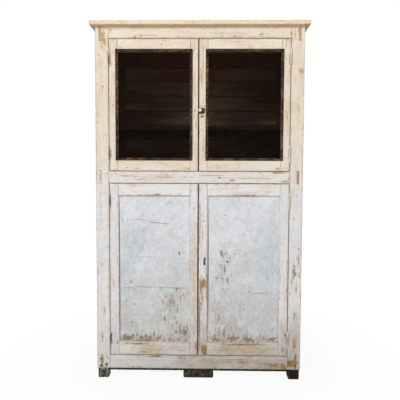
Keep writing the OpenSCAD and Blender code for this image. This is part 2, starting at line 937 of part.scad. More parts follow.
module lock_case() {
    z0 = lock_z - lock_h / 2;
    color(IRON) in_place()
        difference() {
            block([lock_x, door_t, z0], [lock_x + lock_w, door_t + lock_t, z0 + lock_h]);
            block([lock_x - cut, lock_bolt_y - joint_fit, lock_bolt_z - lock_bolt_h / 2 - joint_fit],
                  [lock_x + lock_w - plate_t, lock_bolt_y + lock_bolt_t + joint_fit,
                   lock_bolt_z + lock_bolt_h / 2 + joint_fit]);
            on_face(lock_bolt_y + lock_bolt_t, lock_bolt_y + lock_bolt_t - door_t + cut) keyhole();
        }
}

module lock_bolt() {
    color(IRON) in_place()
        block([lock_x, lock_bolt_y, lock_bolt_z - lock_bolt_h / 2],
              [lock_x + lock_bolt_l, lock_bolt_y + lock_bolt_t, lock_bolt_z + lock_bolt_h / 2]);
}

// Shoot bolts inside the left doors

module bolt_guides(row) {
    top = door_z1(row) - rod_top_gap;
    w = rod_r + guide_wall;
    color(IRON) in_place()
        difference() {
            union() {
                block([-rod_x - shoot_plate_w / 2, door_t, top - shoot_plate_h],
                      [-rod_x + shoot_plate_w / 2, door_t + plate_t, top]);
                for (z = [top - guide_drop, top - shoot_plate_h + guide_drop]) {
                    block([-rod_x - w, door_t, z - guide_h / 2], [-rod_x + w, rod_y, z + guide_h / 2]);
                    translate([-rod_x, rod_y, z - guide_h / 2]) cylinder(r = w, h = guide_h);
                }
            }
            translate([-rod_x, rod_y, top - shoot_plate_h - cut])
                cylinder(r = rod_r + running_fit, h = shoot_plate_h + 2 * cut);
        }
}

module shoot_bolt(row) {
    top = door_z1(row) - rod_top_gap;
    color(IRON) in_place() {
        translate([-rod_x, rod_y, top - rod_l]) cylinder(r = rod_r, h = rod_l);
        translate([-rod_x, rod_y, top - peg_drop]) rotate([-90, 0, 0]) cylinder(r = peg_r, h = peg_reach);
    }
}

front_post(-1);  // front_post_left
front_post(1);  // front_post_right
rear_post(-1);  // rear_post_left
rear_post(1);  // rear_post_right
top_rail();
mid_rail();
base_rail();
side_rails(-1);  // side_rails_left
side_rails(1);  // side_rails_right
side_panels(-1);  // side_panels_left
side_panels(1);  // side_panels_right
back_rails();
back_boards();
top_board();
floor_board();
mid_deck();
upper_shelf();
lower_shelf();
shelf_cleats();
door_stops();
base_batten();
centre_block();
front_feet();
rear_feet();
case_hinge_leaves();
hinge_pins();
hinge_stile(-1, UPPER);  // upper_left_hinge_stile
meeting_stile(-1, UPPER);  // upper_left_meeting_stile
door_rails(-1, UPPER);  // upper_left_rails
screen(-1);  // upper_left_screen
beads(-1);  // upper_left_beads
door_hinge_leaves(-1, UPPER);  // upper_left_hinge_leaves
hinge_stile(1, UPPER);  // upper_right_hinge_stile
meeting_stile(1, UPPER);  // upper_right_meeting_stile
door_rails(1, UPPER);  // upper_right_rails
screen(1);  // upper_right_screen
beads(1);  // upper_right_beads
door_hinge_leaves(1, UPPER);  // upper_right_hinge_leaves
hinge_stile(-1, LOWER);  // lower_left_hinge_stile
meeting_stile(-1, LOWER);  // lower_left_meeting_stile
door_rails(-1, LOWER);  // lower_left_rails
panel(-1);  // lower_left_panel
door_hinge_leaves(-1, LOWER);  // lower_left_hinge_leaves
hinge_stile(1, LOWER);  // lower_right_hinge_stile
meeting_stile(1, LOWER) on_face(door_t + cut, door_t + 2 * cut) keyhole();  // lower_right_meeting_stile
door_rails(1, LOWER);  // lower_right_rails
panel(1);  // lower_right_panel
door_hinge_leaves(1, LOWER);  // lower_right_hinge_leaves
turn_case();
turn_tongue();
porcelain_knob();
turn_keeper();
escutcheon();
lock_case();
lock_bolt();
bolt_guides(UPPER);  // upper_bolt_guides
shoot_bolt(UPPER);  // upper_shoot_bolt
bolt_guides(LOWER);  // lower_bolt_guides
shoot_bolt(LOWER);  // lower_shoot_bolt
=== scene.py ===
# Old pantry cupboard: a pine case with wire screen doors above and panelled doors below, in chalky paint
# that has worn through along the edges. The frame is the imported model, and the pieces below stand for its
# nodes or add to them, and ride on its bodies. In metres, but the marks and names that end in _mm are in mm.
import math

import bmesh
import bpy
from mathutils import Matrix, Vector


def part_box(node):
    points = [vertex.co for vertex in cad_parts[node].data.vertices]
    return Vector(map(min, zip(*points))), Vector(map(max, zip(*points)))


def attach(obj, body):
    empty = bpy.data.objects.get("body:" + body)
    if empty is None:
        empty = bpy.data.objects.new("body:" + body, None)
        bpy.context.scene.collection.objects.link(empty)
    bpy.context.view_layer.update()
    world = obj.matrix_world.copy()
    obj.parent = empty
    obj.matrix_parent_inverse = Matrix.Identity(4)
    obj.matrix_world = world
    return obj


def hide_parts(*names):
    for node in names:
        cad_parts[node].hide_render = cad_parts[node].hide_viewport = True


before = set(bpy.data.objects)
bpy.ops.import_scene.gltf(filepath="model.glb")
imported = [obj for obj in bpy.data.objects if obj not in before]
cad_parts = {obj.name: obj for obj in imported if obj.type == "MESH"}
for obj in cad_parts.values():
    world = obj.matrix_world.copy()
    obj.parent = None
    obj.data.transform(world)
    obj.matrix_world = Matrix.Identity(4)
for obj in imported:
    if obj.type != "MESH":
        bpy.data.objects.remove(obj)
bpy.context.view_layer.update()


# Front frame of the case
# Two posts and three rails of pine, mortised together, planed by hand and painted once or twice: cream
# above, where the light has yellowed it, and a cooler grey white below. The paint is worn off the arrises.

# The plane of the fronts of the posts, on which the marks in the paint are placed
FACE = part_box("front_post_left")[0].y


def colour(code):
    """sRGB hex to the linear colour that a shader takes."""
    parts = [int(code[i:i + 2], 16) / 255 for i in (1, 3, 5)]
    return tuple(c / 12.92 if c <= 0.04045 else ((c + 0.055) / 1.055) ** 2.4 for c in parts) + (1.0,)


def add(tree, kind, sockets=None, **settings):
    """Adds a shader node with its settings, and links or sets its sockets."""
    made = tree.nodes.new("ShaderNode" + kind)
    for key, value in settings.items():
        setattr(made, key, value)
    for key, value in (sockets or {}).items():
        if isinstance(value, bpy.types.NodeSocket):
            tree.links.new(value, made.inputs[key])
        else:
            made.inputs[key].default_value = value
    return made


def finish_named(name, constants):
    """A new material with its shader's constants, its node tree, and the place on the object."""
    made = bpy.data.materials.new(name)
    made.use_nodes = True
    tree = made.node_tree
    for socket, value in constants.items():
        tree.nodes["Principled BSDF"].inputs[socket].default_value = value
    return made, tree, add(tree, "TexCoord").outputs["Object"]


def finished(made, face, height=None, strength=0.0, rise_mm=0.0):
    """Gives a material its colour, and its relief, in which a height of 1 rises by so many millimetres."""
    tree = made.node_tree
    shader = tree.nodes["Principled BSDF"]
    tree.links.new(face, shader.inputs["Base Color"])
    if height is not None:
        bump = add(tree, "Bump", {"Strength": strength, "Distance": rise_mm / 1000, "Height": height})
        tree.links.new(bump.outputs[0], shader.inputs["Normal"])
    return made


def laid_over(tree, face, coats):
    """Lays coats of tint over a colour. A coat is a value, where on it the tint starts and where it is
    whole, the share of the colour that it then takes, and the tint."""
    for value, starts, whole, share, tint in coats:
        part = add(tree, "MapRange", {0: value, 1: starts, 2: whole, 4: share}).outputs[0]
        face = add(tree, "Mix", {0: part, 6: face, 7: colour(tint)}, data_type="RGBA").outputs[2]
    return face


def read_board(tree, at):
    """What dressed wrote on a board: its number, the place moved by that number, so that no two
    boards share their grain, and the distances to its nearest ends and to its nearest arris. The arris lies
    at the middle one of the three distances to the ends, because the least is that to the face itself."""
    board = add(tree, "Attribute", attribute_name="board").outputs["Fac"]
    own = add(tree, "VectorMath", {0: board, 1: (3.1, 5.3, 7.7), 2: at}, operation="MULTIPLY_ADD").outputs[0]
    low = add(tree, "Attribute", attribute_name="from_low").outputs["Vector"]
    high = add(tree, "Attribute", attribute_name="from_high").outputs["Vector"]
    ends = add(tree, "VectorMath", {0: low, 1: high}, operation="MINIMUM").outputs[0]
    near = add(tree, "SeparateXYZ", {0: ends}).outputs
    least = add(tree, "Math", {0: near[0], 1: near[1]}, operation="MINIMUM").outputs[0]
    most = add(tree, "Math", {0: near[0], 1: near[1]}, operation="MAXIMUM").outputs[0]
    other = add(tree, "Math", {0: most, 1: near[2]}, operation="MINIMUM").outputs[0]
    arris = add(tree, "Math", {0: least, 1: other}, operation="MAXIMUM").outputs[0]
    return board, own, ends, arris


def jittered(tree, at, crumbs, reach_mm):
    """Moves a place about in x and z by a noise, so that marks get a ragged outline."""
    middle = (0.5, 0.5, 0.5)
    reach = (reach_mm / 1000, 0.0, reach_mm / 1000)
    jitter = add(tree, "VectorMath", {0: crumbs.outputs[1], 1: middle}, operation="SUBTRACT").outputs[0]
    return add(tree, "VectorMath", {0: jitter, 1: reach, 2: at}, operation="MULTIPLY_ADD").outputs[0]


def nearness(tree, at, marks):
    """How deep a point lies in the nearest of some marks: 1 times its strength in the middle, 0 outside.
    A mark is (x, z, half width, half height) in mm on the front, its turn in degrees, and its strength."""
    deep_mm = 30
    deepest = 0.0
    for x, z, half_w, half_h, turn, strength in marks:
        middle = (x / 1000, FACE, z / 1000)
        reach = (half_w / 1000, deep_mm / 1000, half_h / 1000)
        inside = add(tree, "Mapping", {0: at, 1: middle, 2: (0, math.radians(turn), 0), 3: reach},
                     vector_type="TEXTURE")
        length = add(tree, "VectorMath", {0: inside.outputs[0]}, operation="LENGTH")
        depth = add(tree, "Math", {0: length.outputs[1], 1: -strength, 2: strength},
                    operation="MULTIPLY_ADD")
        deepest = add(tree, "Math", {0: depth.outputs[0], 1: deepest}, operation="MAXIMUM").outputs[0]
    return deepest


def painted_pine(name, along, upper, lower, bare=(), thin=(), dark=(), wear=0.0, edge=1.0,
                 wood=("#ab875f", "#c6a47c"), inside=None):
    """Chalky matt paint on pine, which the eye takes as soft, dry and uneven: brushed paint with pale and
    tan clouds, rubbed thin in places, small flakes gone at the edges and at the given marks, pin holes,
    grime in the joints, a browner, darker tone towards the floor, and dark marks of dirt and of painted
    shade. Inside is the axis and the place in metres past which the wood is stained."""
    made, tree, at = finish_named(name, {"Roughness": 0.78, "Specular IOR Level": 0.3})
    place = add(tree, "SeparateXYZ", {0: at}).outputs
    _, own, _, arris = read_board(tree, at)
    grain_way, chip_way = ((1, 1, 0.05), (1, 1, 0.36)) if along == "z" else ((0.05, 1, 1), (0.36, 1, 1))
    grain_at = add(tree, "VectorMath", {0: own, 1: grain_way}, operation="MULTIPLY").outputs[0]
    chip_at = add(tree, "VectorMath", {0: own, 1: chip_way}, operation="MULTIPLY").outputs[0]

    # Clouds, mottle, streaks, grain and chips. Real grain is nearer 1 mm, and drawn at 2.2 mm it still shows
    cloud, mottle, streak, fine, chips = [
        add(tree, "TexNoise", {"Vector": where, "Scale": 1000 / size_mm, "Detail": detail,
                               "Roughness": rough}).outputs[0]
        for where, size_mm, detail, rough in (
            (own, 200, 4.0, 0.5), (chip_at, 33, 6.0, 0.7), (grain_at, 11, 4.0, 0.6),
            (grain_at, 2.2, 4.0, 0.65), (chip_at, 10.5, 8.0, 0.78))]
    crumbs = add(tree, "TexNoise", {"Vector": own, "Scale": 1000 / 5, "Detail": 5.0, "Roughness": 0.75})

    # Flaked marks get a very ragged outline, dark ones a slightly ragged one
    ragged = jittered(tree, at, crumbs, 34)
    uneven = jittered(tree, at, crumbs, 5)

    # How far the paint has gone: the sum of edge, marks and patterns, each pattern counted from its middle
    rubbed = add(tree, "MapRange", {0: arris, 1: 0.011, 2: 0.0}).outputs[0]
    gone = wear
    for value, weight, middle in ((rubbed, 0.27 * edge, 0.0), (nearness(tree, ragged, bare), 1.0, 0.0),
                                  (chips, 2.3, 0.5), (mottle, 0.6, 0.5), (streak, 0.4, 0.5)):
        gone = add(tree, "Math", {0: value, 1: weight, 2: gone}, operation="MULTIPLY_ADD").outputs[0]
        gone = add(tree, "Math", {0: gone, 1: weight * middle}, operation="SUBTRACT").outputs[0]
    off = add(tree, "MapRange", {0: gone, 1: 0.46, 2: 0.54}).outputs[0]
    thinned = nearness(tree, ragged, thin)
    thinner = add(tree, "Math", {0: thinned, 1: 0.42, 2: gone}, operation="MULTIPLY_ADD").outputs[0]

    # Paint, by height on the cupboard, with its clouds and streaks, and wood where it is off, paler above
    face = laid_over(tree, colour(lower), (
        (place[2], 0.96, 1.42, 1.0, upper), (cloud, 0.44, 0.70, 0.50, "#f4f1ea"),
        (mottle, 0.52, 0.74, 0.50, "#c8ad91"), (streak, 0.48, 0.74, 0.30, "#b8a68f"),
        (crumbs.outputs[0], 0.50, 0.34, 0.55, "#f3eee4"), (thinner, 0.06, 0.44, 0.62, "#cbab82"),
        (crumbs.outputs[0], 0.60, 0.69, 0.65, "#826c53")))
    bare_wood = laid_over(tree, colour(wood[0]), (
        (place[2], 0.5, 1.6, 1.0, wood[1]), (fine, 0.42, 0.72, 0.6, "#85633f")))
    face = add(tree, "Mix", {0: off, 6: face, 7: bare_wood}, data_type="RGBA").outputs[2]

    # Grime, a line along every joint; a brown tone, darker low down and more so to the right; and the dark
    # marks: dirt, and painted shade in the gaps between the doors, beside hinges and at the keyhole
    face = laid_over(tree, face, [(arris, 0.0024, 0.0006, 0.75, "#6f5b47")])
    down = add(tree, "MapRange", {0: place[2], 1: 0.46, 2: 0.08}).outputs[0]
    rightward = add(tree, "MapRange", {0: place[0], 1: -0.55, 2: 0.12, 3: 0.22, 4: 1.0}).outputs[0]
    patchy = add(tree, "MapRange", {0: mottle, 1: 0.36, 2: 0.62, 3: 0.40, 4: 0.62}).outputs[0]
    film = add(tree, "Math", {0: down, 1: rightward}, operation="MULTIPLY").outputs[0]
    film = add(tree, "Math", {0: film, 1: patchy}, operation="MULTIPLY").outputs[0]
    face = add(tree, "Mix", {0: film, 6: face, 7: colour("#836f52")}, data_type="RGBA").outputs[2]
    face = laid_over(tree, face, [(nearness(tree, uneven, dark), 0.1, 0.5, 0.9, "#453629")])

    if inside:
        axis, start = inside
        depth = place[axis]
        if axis == 0:
            depth = add(tree, "Math", {0: depth}, operation="ABSOLUTE").outputs[0]
        past = add(tree, "Math", {0: depth, 1: start},
                   operation="LESS_THAN" if axis == 0 else "GREATER_THAN").outputs[0]
        stain = laid_over(tree, colour("#2d1a11"), [(streak, 0.35, 0.65, 1.0, "#4d2e1c")])
        face = add(tree, "Mix", {0: past, 6: face, 7: stain}, data_type="RGBA").outputs[2]

    skin = add(tree, "Math", {0: off, 1: -0.5, 2: 0.5}, operation="MULTIPLY_ADD").outputs[0]
    relief = add(tree, "Math", {0: fine, 1: 0.3, 2: skin}, operation="MULTIPLY_ADD").outputs[0]
    relief = add(tree, "Math", {0: chips, 1: 0.35, 2: relief}, operation="MULTIPLY_ADD").outputs[0]
    return finished(made, face, relief, 0.55, 1.1)


def dressed(name, nodes, body, material, ease=0.0009):
    """Stands for CAD nodes: their faces, with every arris eased, and on each board its own number and the
    distances to its two ends in each direction, which the finish reads. Points closer than one_point are
    one, faces that turn by less than level become one face, and an arris turns by more than arris."""
    one_point, level, arris = 1e-5, math.radians(0.6), 0.5
    shape = bmesh.new()
    for node in nodes:
        shape.from_mesh(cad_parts[node].data)
    bmesh.ops.remove_doubles(shape, verts=shape.verts, dist=one_point)
    bmesh.ops.dissolve_limit(shape, angle_limit=level, verts=shape.verts, edges=shape.edges)
    sharp = [e for e in shape.edges if len(e.link_faces) == 2 and e.calc_face_angle() > arris]
    eased = bmesh.ops.bevel(shape, geom=sharp, offset=ease, offset_type="OFFSET", affect="EDGES", segments=2,
                            profile=0.5, material=-1, clamp_overlap=True)
    for face in eased["faces"]:
        face.smooth = True
    mix_x, mix_y, mix_z = 3.7, 2.3, 5.9
    number = shape.verts.layers.float.new("board")
    low = shape.verts.layers.float_vector.new("from_low")
    high = shape.verts.layers.float_vector.new("from_high")
    seen = set()
    for start in shape.verts:
        if start in seen:
            continue
        seen.add(start)
        group, rim = [start], [start]
        while rim:
            vert = rim.pop()
            for edge in vert.link_edges:
                beside = edge.other_vert(vert)
                if beside not in seen:
                    seen.add(beside)
                    group.append(beside)
                    rim.append(beside)
        lowest = Vector([min(v.co[i] for v in group) for i in range(3)])
        highest = Vector([max(v.co[i] for v in group) for i in range(3)])
        for vert in group:
            vert[number] = (lowest.x * mix_x + lowest.y * mix_y + lowest.z * mix_z) % 1.0
            vert[low] = vert.co - lowest
            vert[high] = highest - vert.co
    return placed(name, shape, body, material, nodes)


def placed(name, shape, body, material, nodes=()):
    """Makes an object of a bmesh, gives it its finish and sets it on its body."""
    mesh = bpy.data.meshes.new(name)
    shape.to_mesh(mesh)
    shape.free()
    made = bpy.data.objects.new(name, mesh)
    bpy.context.scene.collection.objects.link(made)
    mesh.materials.append(material)
    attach(made, body)
    if nodes:
        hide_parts(*nodes)
    return made


CREAM, GREY_WHITE = "#e9dbc5", "#e2e3e7"

# Where the posts and rails are bare, where their paint is thin, and their nail holes, cracks and dirt
post_bare = [
    (-533, 1911, 11, 46, 3, 1.1), (-522, 1887, 11, 32, -9, 1.1), (-535, 1857, 6, 18, 0, 0.9),
    (-521, 1953, 5, 5, 0, 1.0), (-523, 78, 17, 19, 20, 1.0), (-552, 110, 5, 14, 0, 0.8),
    (556, 1728, 15, 21, -15, 1.3), (520, 1935, 5, 30, 0, 0.9), (541, 1945, 16, 14, 0, 0.8),
    (534, 614, 10, 72, 2, 1.05), (564, 600, 5, 30, 0, 1.0), (541, 606, 14, 26, 0, 0.8),
    (522, 560, 5, 40, 0, 0.8), (514, 495, 5, 15, 0, 0.9), (539, 359, 5, 36, 0, 0.8),
    (548, 520, 6, 60, 0, 0.65), (527, 91, 38, 28, -20, 1.5), (550, 135, 8, 34, 0, 0.9),
    (540, 200, 14, 60, 0, 0.6), (560, 680, 5, 45, 0, 0.7), (523, 300, 5, 60, 0, 0.6),
    (-540, 640, 7, 40, 0, 0.5), (-530, 400, 12, 50, 0, 0.5), (-545, 250, 12, 60, 0, 0.5),
]
post_thin = [
    (-532, 1890, 26, 90, 0, 0.9), (-539, 1777, 9, 60, 0, 1.0), (-541, 1640, 11, 120, 0, 0.7),
    (525, 853, 11, 26, 0, 1.0), (556, 1700, 14, 50, 0, 0.8), (-545, 900, 20, 90, 0, 0.5),
    (-552, 520, 18, 90, 0, 0.6), (540, 1500, 18, 120, 0, 0.5), (545, 300, 20, 150, 0, 0.8),
]
post_dark = [
    (-555, 1818, 4, 4, 0, 1.3), (-532, 1642, 5, 4, 0, 1.2), (-564, 1446, 4, 4, 0, 1.2),
    (-512, 1165, 4.5, 4.5, 0, 1.3), (567, 1596, 4, 4, 0, 1.2), (541, 1042, 4, 4, 0, 1.2),
    (528, 913, 7, 3.5, 20, 1.1), (556, 750, 4.5, 4.5, 0, 1.3), (565, 306, 4.5, 3.5, 0, 1.2),
    (-557, 107, 5, 9, 0, 1.3), (-519, 118, 4, 7, 0, 1.3), (-557, 69, 8, 9, 0, 1.4),
    (-523, 78, 6, 8, 0, 1.4), (517, 96, 3, 22, 4, 1.3), (549, 92, 4, 9, 0, 1.2),
    (-521, 1931, 4, 5, 0, 1.0), (-508, 1824, 3.5, 19, 0, 0.9),
]
posts_finish = painted_pine("chalk_paint_on_pine_posts", "z", CREAM, GREY_WHITE, post_bare, post_thin,
                            post_dark, inside=(1, FACE + 0.0444))
rail_bare = [
    (-491, 1951, 9, 8, 0, 1.1), (-353, 1912, 10, 7, 0, 1.0), (-321, 1915, 12, 6, 10, 1.0),
    (-247, 1955, 9, 7, 0, 0.9), (338, 1926, 9, 5, 0, 1.1), (193, 1914, 18, 6, 0, 1.0),
    (125, 1913, 10, 5, 0, 0.9), (499, 1931, 6, 28, 0, 1.0), (443, 1169, 42, 7, 0, 1.1),
    (477, 1122, 26, 6, 0, 1.1), (186, 1127, 28, 6, 0, 1.0), (496, 1140, 5, 30, 0, 0.8),
    (-238, 127, 38, 7, 0, 1.3), (248, 97, 36, 6, 4, 0.9), (415, 81, 84, 16, 3, 0.95),
    (480, 75, 26, 20, 0, 1.4), (340, 1913, 40, 4, 0, 0.7), (-420, 1150, 40, 6, 0, 0.6),
    (-330, 1132, 50, 5, 0, 0.6), (-180, 1150, 60, 6, 0, 0.6),
]
rail_thin = [
    (0, 100, 230, 45, 0, 0.9), (250, 95, 160, 45, 0, 0.9), (0, 1911, 520, 9, 0, 0.6),
    (-250, 1143, 260, 26, 0, 0.6), (250, 1143, 240, 20, 0, 0.4), (430, 60, 120, 22, 0, 1.0),
]
rail_dark = [
    (-380, 1150, 96, 1.5, 1.2, 0.9), (-180, 1141, 80, 1.4, -1.0, 0.9), (60, 1156, 110, 1.5, 0.8, 0.9),
    (320, 1139, 120, 1.4, -0.8, 0.9), (-300, 1921, 90, 1.5, 1.0, 0.9), (150, 1931, 110, 1.4, -0.7, 0.8),
    (380, 1909, 70, 1.5, 1.2, 0.9), (-250, 124, 120, 1.5, 0.8, 0.8), (200, 112, 130, 1.5, -0.8, 0.8),
    (114, 1143, 8, 5.5, 0, 1.4), (-358, 1910, 7, 4, 0, 0.9), (60, 1933, 4, 4, 0, 0.9),
    (90, 1931, 4, 3, 0, 0.9), (124, 1933, 4, 4, 0, 0.9), (30, 1932, 3, 3, 0, 0.8),
    (-40, 1143, 5, 4, 0, 0.9), (-465, 1163, 6, 4, 0, 0.9), (338, 1927, 5, 3, 0, 0.9),
    (-100, 117, 7, 5, 0, 0.8), (-75, 112, 3, 9, 0, 0.8),
]
rails_finish = painted_pine("chalk_paint_on_pine_rails", "x", CREAM, GREY_WHITE, rail_bare, rail_thin,
                            rail_dark, inside=(1, FACE + 0.0374))
for side in ("left", "right"):
    dressed(f"post_{side}", [f"front_post_{side}"], "case", posts_finish)
for rail in ("top_rail", "mid_rail", "base_rail"):
    dressed(f"case_{rail}", [rail], "case", rails_finish)


# Sides
# Three rails between the posts on each side, whose tenons come right through the front posts, where their
# bare end grain shows, and two thin panels in grooves. All painted like the front.

# The end grain of the six tenons, each bare over 52 by 120 mm at most
tenon_bare = [(x, z, 26, 60, 0, strength) for x, z, strength in
              ((-555, 1931, 1.3), (555, 1931, 1.4), (-555, 1142, 0.55), (555, 1146, 1.5), (-555, 98, 1.0),
               (555, 98, 1.2))]
tenon_dark = [(-557, 66, 11, 12, 0, 1.5), (-556, 108, 4, 8, 0, 1.2), (549, 80, 5, 12, 0, 1.1)]
sides_finish = painted_pine("chalk_paint_on_pine_side_rails", "x", CREAM, GREY_WHITE, tenon_bare, (),
                            tenon_dark, wear=0.02, inside=(0, 0.5335))
side_panel_finish = painted_pine("chalk_paint_on_side_panels", "z", CREAM, "#dcdfe0", wear=-0.02,
                                 inside=(0, 0.5435))
rear_finish = painted_pine("chalk_paint_on_rear_posts", "z", CREAM, GREY_WHITE, wear=0.04,
                           inside=(0, 0.5738))
for side in ("left", "right"):
    dressed(f"side_{side}_rails", [f"side_rails_{side}"], "case", sides_finish)
    dressed(f"side_{side}_panels", [f"side_panels_{side}"], "case", side_panel_finish)
    dressed(f"post_rear_{side}", [f"rear_post_{side}"], "case", rear_finish)


# Top board
# One thick board with rounded edges, rubbed almost bare, so that the lines of the grain show through what is
# left of the paint.

top_bare = [
    (-400, 1982, 210, 30, 0, 0.42), (0, 1982, 320, 30, 0, 0.42), (400, 1982, 230, 30, 0, 0.42),
    (-590, 1980, 20, 30, 0, 0.5), (590, 1980, 20, 30, 0, 0.5),
]
top_dark = [
    (-110, 1983, 6, 4, 0, 1.1), (430, 1986, 120, 2.2, 0, 0.6), (180, 1976, 90, 1.8, 0, 0.5),
]
top_finish = painted_pine("worn_paint_on_top_board", "x", "#f5dbb3", "#f5dbb3", top_bare, (), top_dark,
                          wear=0.07, edge=0.3, wood=("#d2ae83", "#d9b68b"))
dressed("top_board_dressed", ["top_board"], "case", top_finish, ease=0.0003)


# Back and inside
# Rough pine boards nailed across the back, with a rail behind the deck, the floor and the top. Inside, the
# wood was stained dark brown long ago, and dust has greyed it towards the middle of the boards.

def old_stain(name, along, dark, light, dust, grime):
    """Unpainted softwood, darkened by age and stain, which looks rough and takes the light: grain lines
    along the board, redder and lighter towards the top, partly as painted light where the top rail shades
    the boards, a film of dust, black joints, and a nail near each corner of wider boards."""
    made, tree, at = finish_named(name, {"Roughness": 0.82, "Specular IOR Level": 0.08})
    high_up = add(tree, "SeparateXYZ", {0: at}).outputs[2]
    board, own, ends, arris = read_board(tree, at)
    grain_way = (0.05, 1, 1) if along == "x" else (1, 0.05, 1)
    grain_at = add(tree, "VectorMath", {0: own, 1: grain_way}, operation="MULTIPLY").outputs[0]
    broad_at = add(tree, "VectorMath", {0: own, 1: (0.22, 1, 1)}, operation="MULTIPLY").outputs[0]

    # Boards sawn flat show their rings about 4.4 mm apart
    lines = add(tree, "TexNoise", {"Vector": grain_at, "Scale": 1000 / 4.4, "Detail": 5.0,
                                   "Roughness": 0.6}).outputs[0]
    cloud = add(tree, "TexNoise", {"Vector": broad_at, "Scale": 1000 / 110, "Detail": 4.0}).outputs[0]
    tone = add(tree, "TexWhiteNoise", {"W": board}, noise_dimensions="1D").outputs[0]

    # How near a point is to a nail, 16 mm from the board's end and 24 mm from its edge
    flat = add(tree, "VectorMath", {0: ends, 1: (1, 0, 1)}, operation="MULTIPLY").outputs[0]
    nail = add(tree, "VectorMath", {0: flat, 1: (0.016, 0, 0.024)}, operation="DISTANCE").outputs[1]
    # Redder and lighter towards the top: the wood's own colour, and painted light where the top rail shades
    # it
    red = add(tree, "MapRange", {0: high_up, 1: 1.62, 2: 1.86, 4: 0.8}).outputs[0]
    red = add(tree, "Math", {0: red, 1: lines}, operation="MULTIPLY").outputs[0]

    wood = laid_over(tree, colour(dark), (
        (lines, 0.36, 0.64, 1.0, light), (tone, 0.0, 1.0, 0.35, dark), (cloud, 0.42, 0.70, grime, dust),
        (red, 0.0, 1.0, 1.0, "#8c4527"), (arris, 0.0045, 0.0010, 0.8, "#0d0806"),
        (nail, 0.010, 0.002, 0.45, "#1f110a"), (nail, 0.0030, 0.0020, 0.9, "#0f0a08")))
    return finished(made, wood, lines, 0.5, 1.2)


inside_finish = old_stain("dark_stained_pine_inside", "x", "#160e09", "#2b1b12", "#3a342c", 0.4)
cleat_finish = old_stain("dark_stained_pine_cleats", "y", "#1a100b", "#301e14", "#3a332b", 0.3)
back_finish = old_stain("weathered_pine_back", "x", "#2c170b", "#6f452b", "#7f8072", 0.75)
dressed("boards_of_back", ["back_boards"], "case", back_finish)

# Loose tongues in the 1 mm joints between the back boards, short of their ends by 2 mm
back_low, back_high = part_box("back_boards")
board_pitch, joint_h, tongue_t, tongue_h, short = 0.095, 0.001, 0.004, 0.008, 0.002
tongues = bmesh.new()
for i in range(1, 1 + round((back_high.z - back_low.z) / board_pitch)):
    joint_z = back_high.z + joint_h - i * board_pitch
    if joint_z > back_low.z:
        tongue = bmesh.ops.create_cube(tongues, size=1.0)["verts"]
        bmesh.ops.scale(tongues, verts=tongue, vec=(back_high.x - back_low.x - 2 * short, tongue_t,
                                                    tongue_h))
        middle = (0, (back_low.y + back_high.y) / 2, joint_z - joint_h / 2)
        bmesh.ops.translate(tongues, verts=tongue, vec=middle)
placed("tongues_of_back_boards", tongues, "case", inside_finish)
dressed("rails_of_back", ["back_rails"], "case", inside_finish)
# Near black stain on the shelves, the deck and the floor, darker than the rest inside, which also paints the
# shade under the upper shelf's front edge
shelf_stain_and_shade = old_stain("black_stain_and_painted_shade_on_shelves", "x", "#120b07", "#22160e", "#2c241b", 0.3)
for piece in ("floor_board", "mid_deck", "upper_shelf", "lower_shelf"):
    dressed(f"{piece}_dressed", [piece], "case", shelf_stain_and_shade)
dressed("cleats_under_shelves", ["shelf_cleats"], "case", cleat_finish)
dressed("stops_of_doors", ["door_stops"], "case", inside_finish)


# Feet, batten and block
# Blackened softwood: block feet under the posts, worn round at the floor, a thin batten under the base rail
# and one block under its middle. Only the lips under the posts have kept a rub of paint.

def blackened(name):
    """Charcoal wood with open grain, dull and dry, greyed where it is scuffed: more so to the left, hardly
    to the right, and with a rub of pale paint on the lip under the left post."""
    made, tree, at = finish_named(name, {"Roughness": 0.85, "Specular IOR Level": 0.1})
    place = add(tree, "SeparateXYZ", {0: at}).outputs
    grain_at = add(tree, "VectorMath", {0: at, 1: (0.12, 1, 1)}, operation="MULTIPLY").outputs[0]
    lines, scuff = [
        add(tree, "TexNoise", {"Vector": where, "Scale": 1000 / size_mm, "Detail": 6.0,
                               "Roughness": rough}).outputs[0]
        for where, size_mm, rough in ((grain_at, 4, 0.7), (at, 14, 0.75))]
    lip = add(tree, "MapRange", {0: place[2], 1: 0.040, 2: 0.050}).outputs[0]
    left = add(tree, "MapRange", {0: place[0], 1: -0.49, 2: -0.51}).outputs[0]
    worn = add(tree, "Math", {0: left, 1: scuff}, operation="MULTIPLY").outputs[0]
    rim = add(tree, "Math", {0: lip, 1: worn}, operation="MULTIPLY").outputs[0]
    wood = laid_over(tree, colour("#15120f"), (
        (lines, 0.38, 0.64, 1.0, "#403830"), (scuff, 0.53, 0.62, 0.75, "#8b806b"),
        (place[0], 0.48, 0.52, 0.85, "#1e1b18"), (worn, 0.44, 0.60, 0.85, "#8f8a81"),
        (rim, 0.42, 0.55, 0.8, "#a9a296")))
    return finished(made, wood, lines, 0.7, 1.5)


foot_finish = blackened("blackened_softwood")
dressed("feet_in_front", ["front_feet"], "case", foot_finish, ease=0.003)
dressed("feet_behind", ["rear_feet"], "case", foot_finish, ease=0.003)
dressed("batten_under_rail", ["base_batten"], "case", foot_finish, ease=0.001)
dressed("block_in_middle", ["centre_block"], "case", foot_finish, ease=0.008)
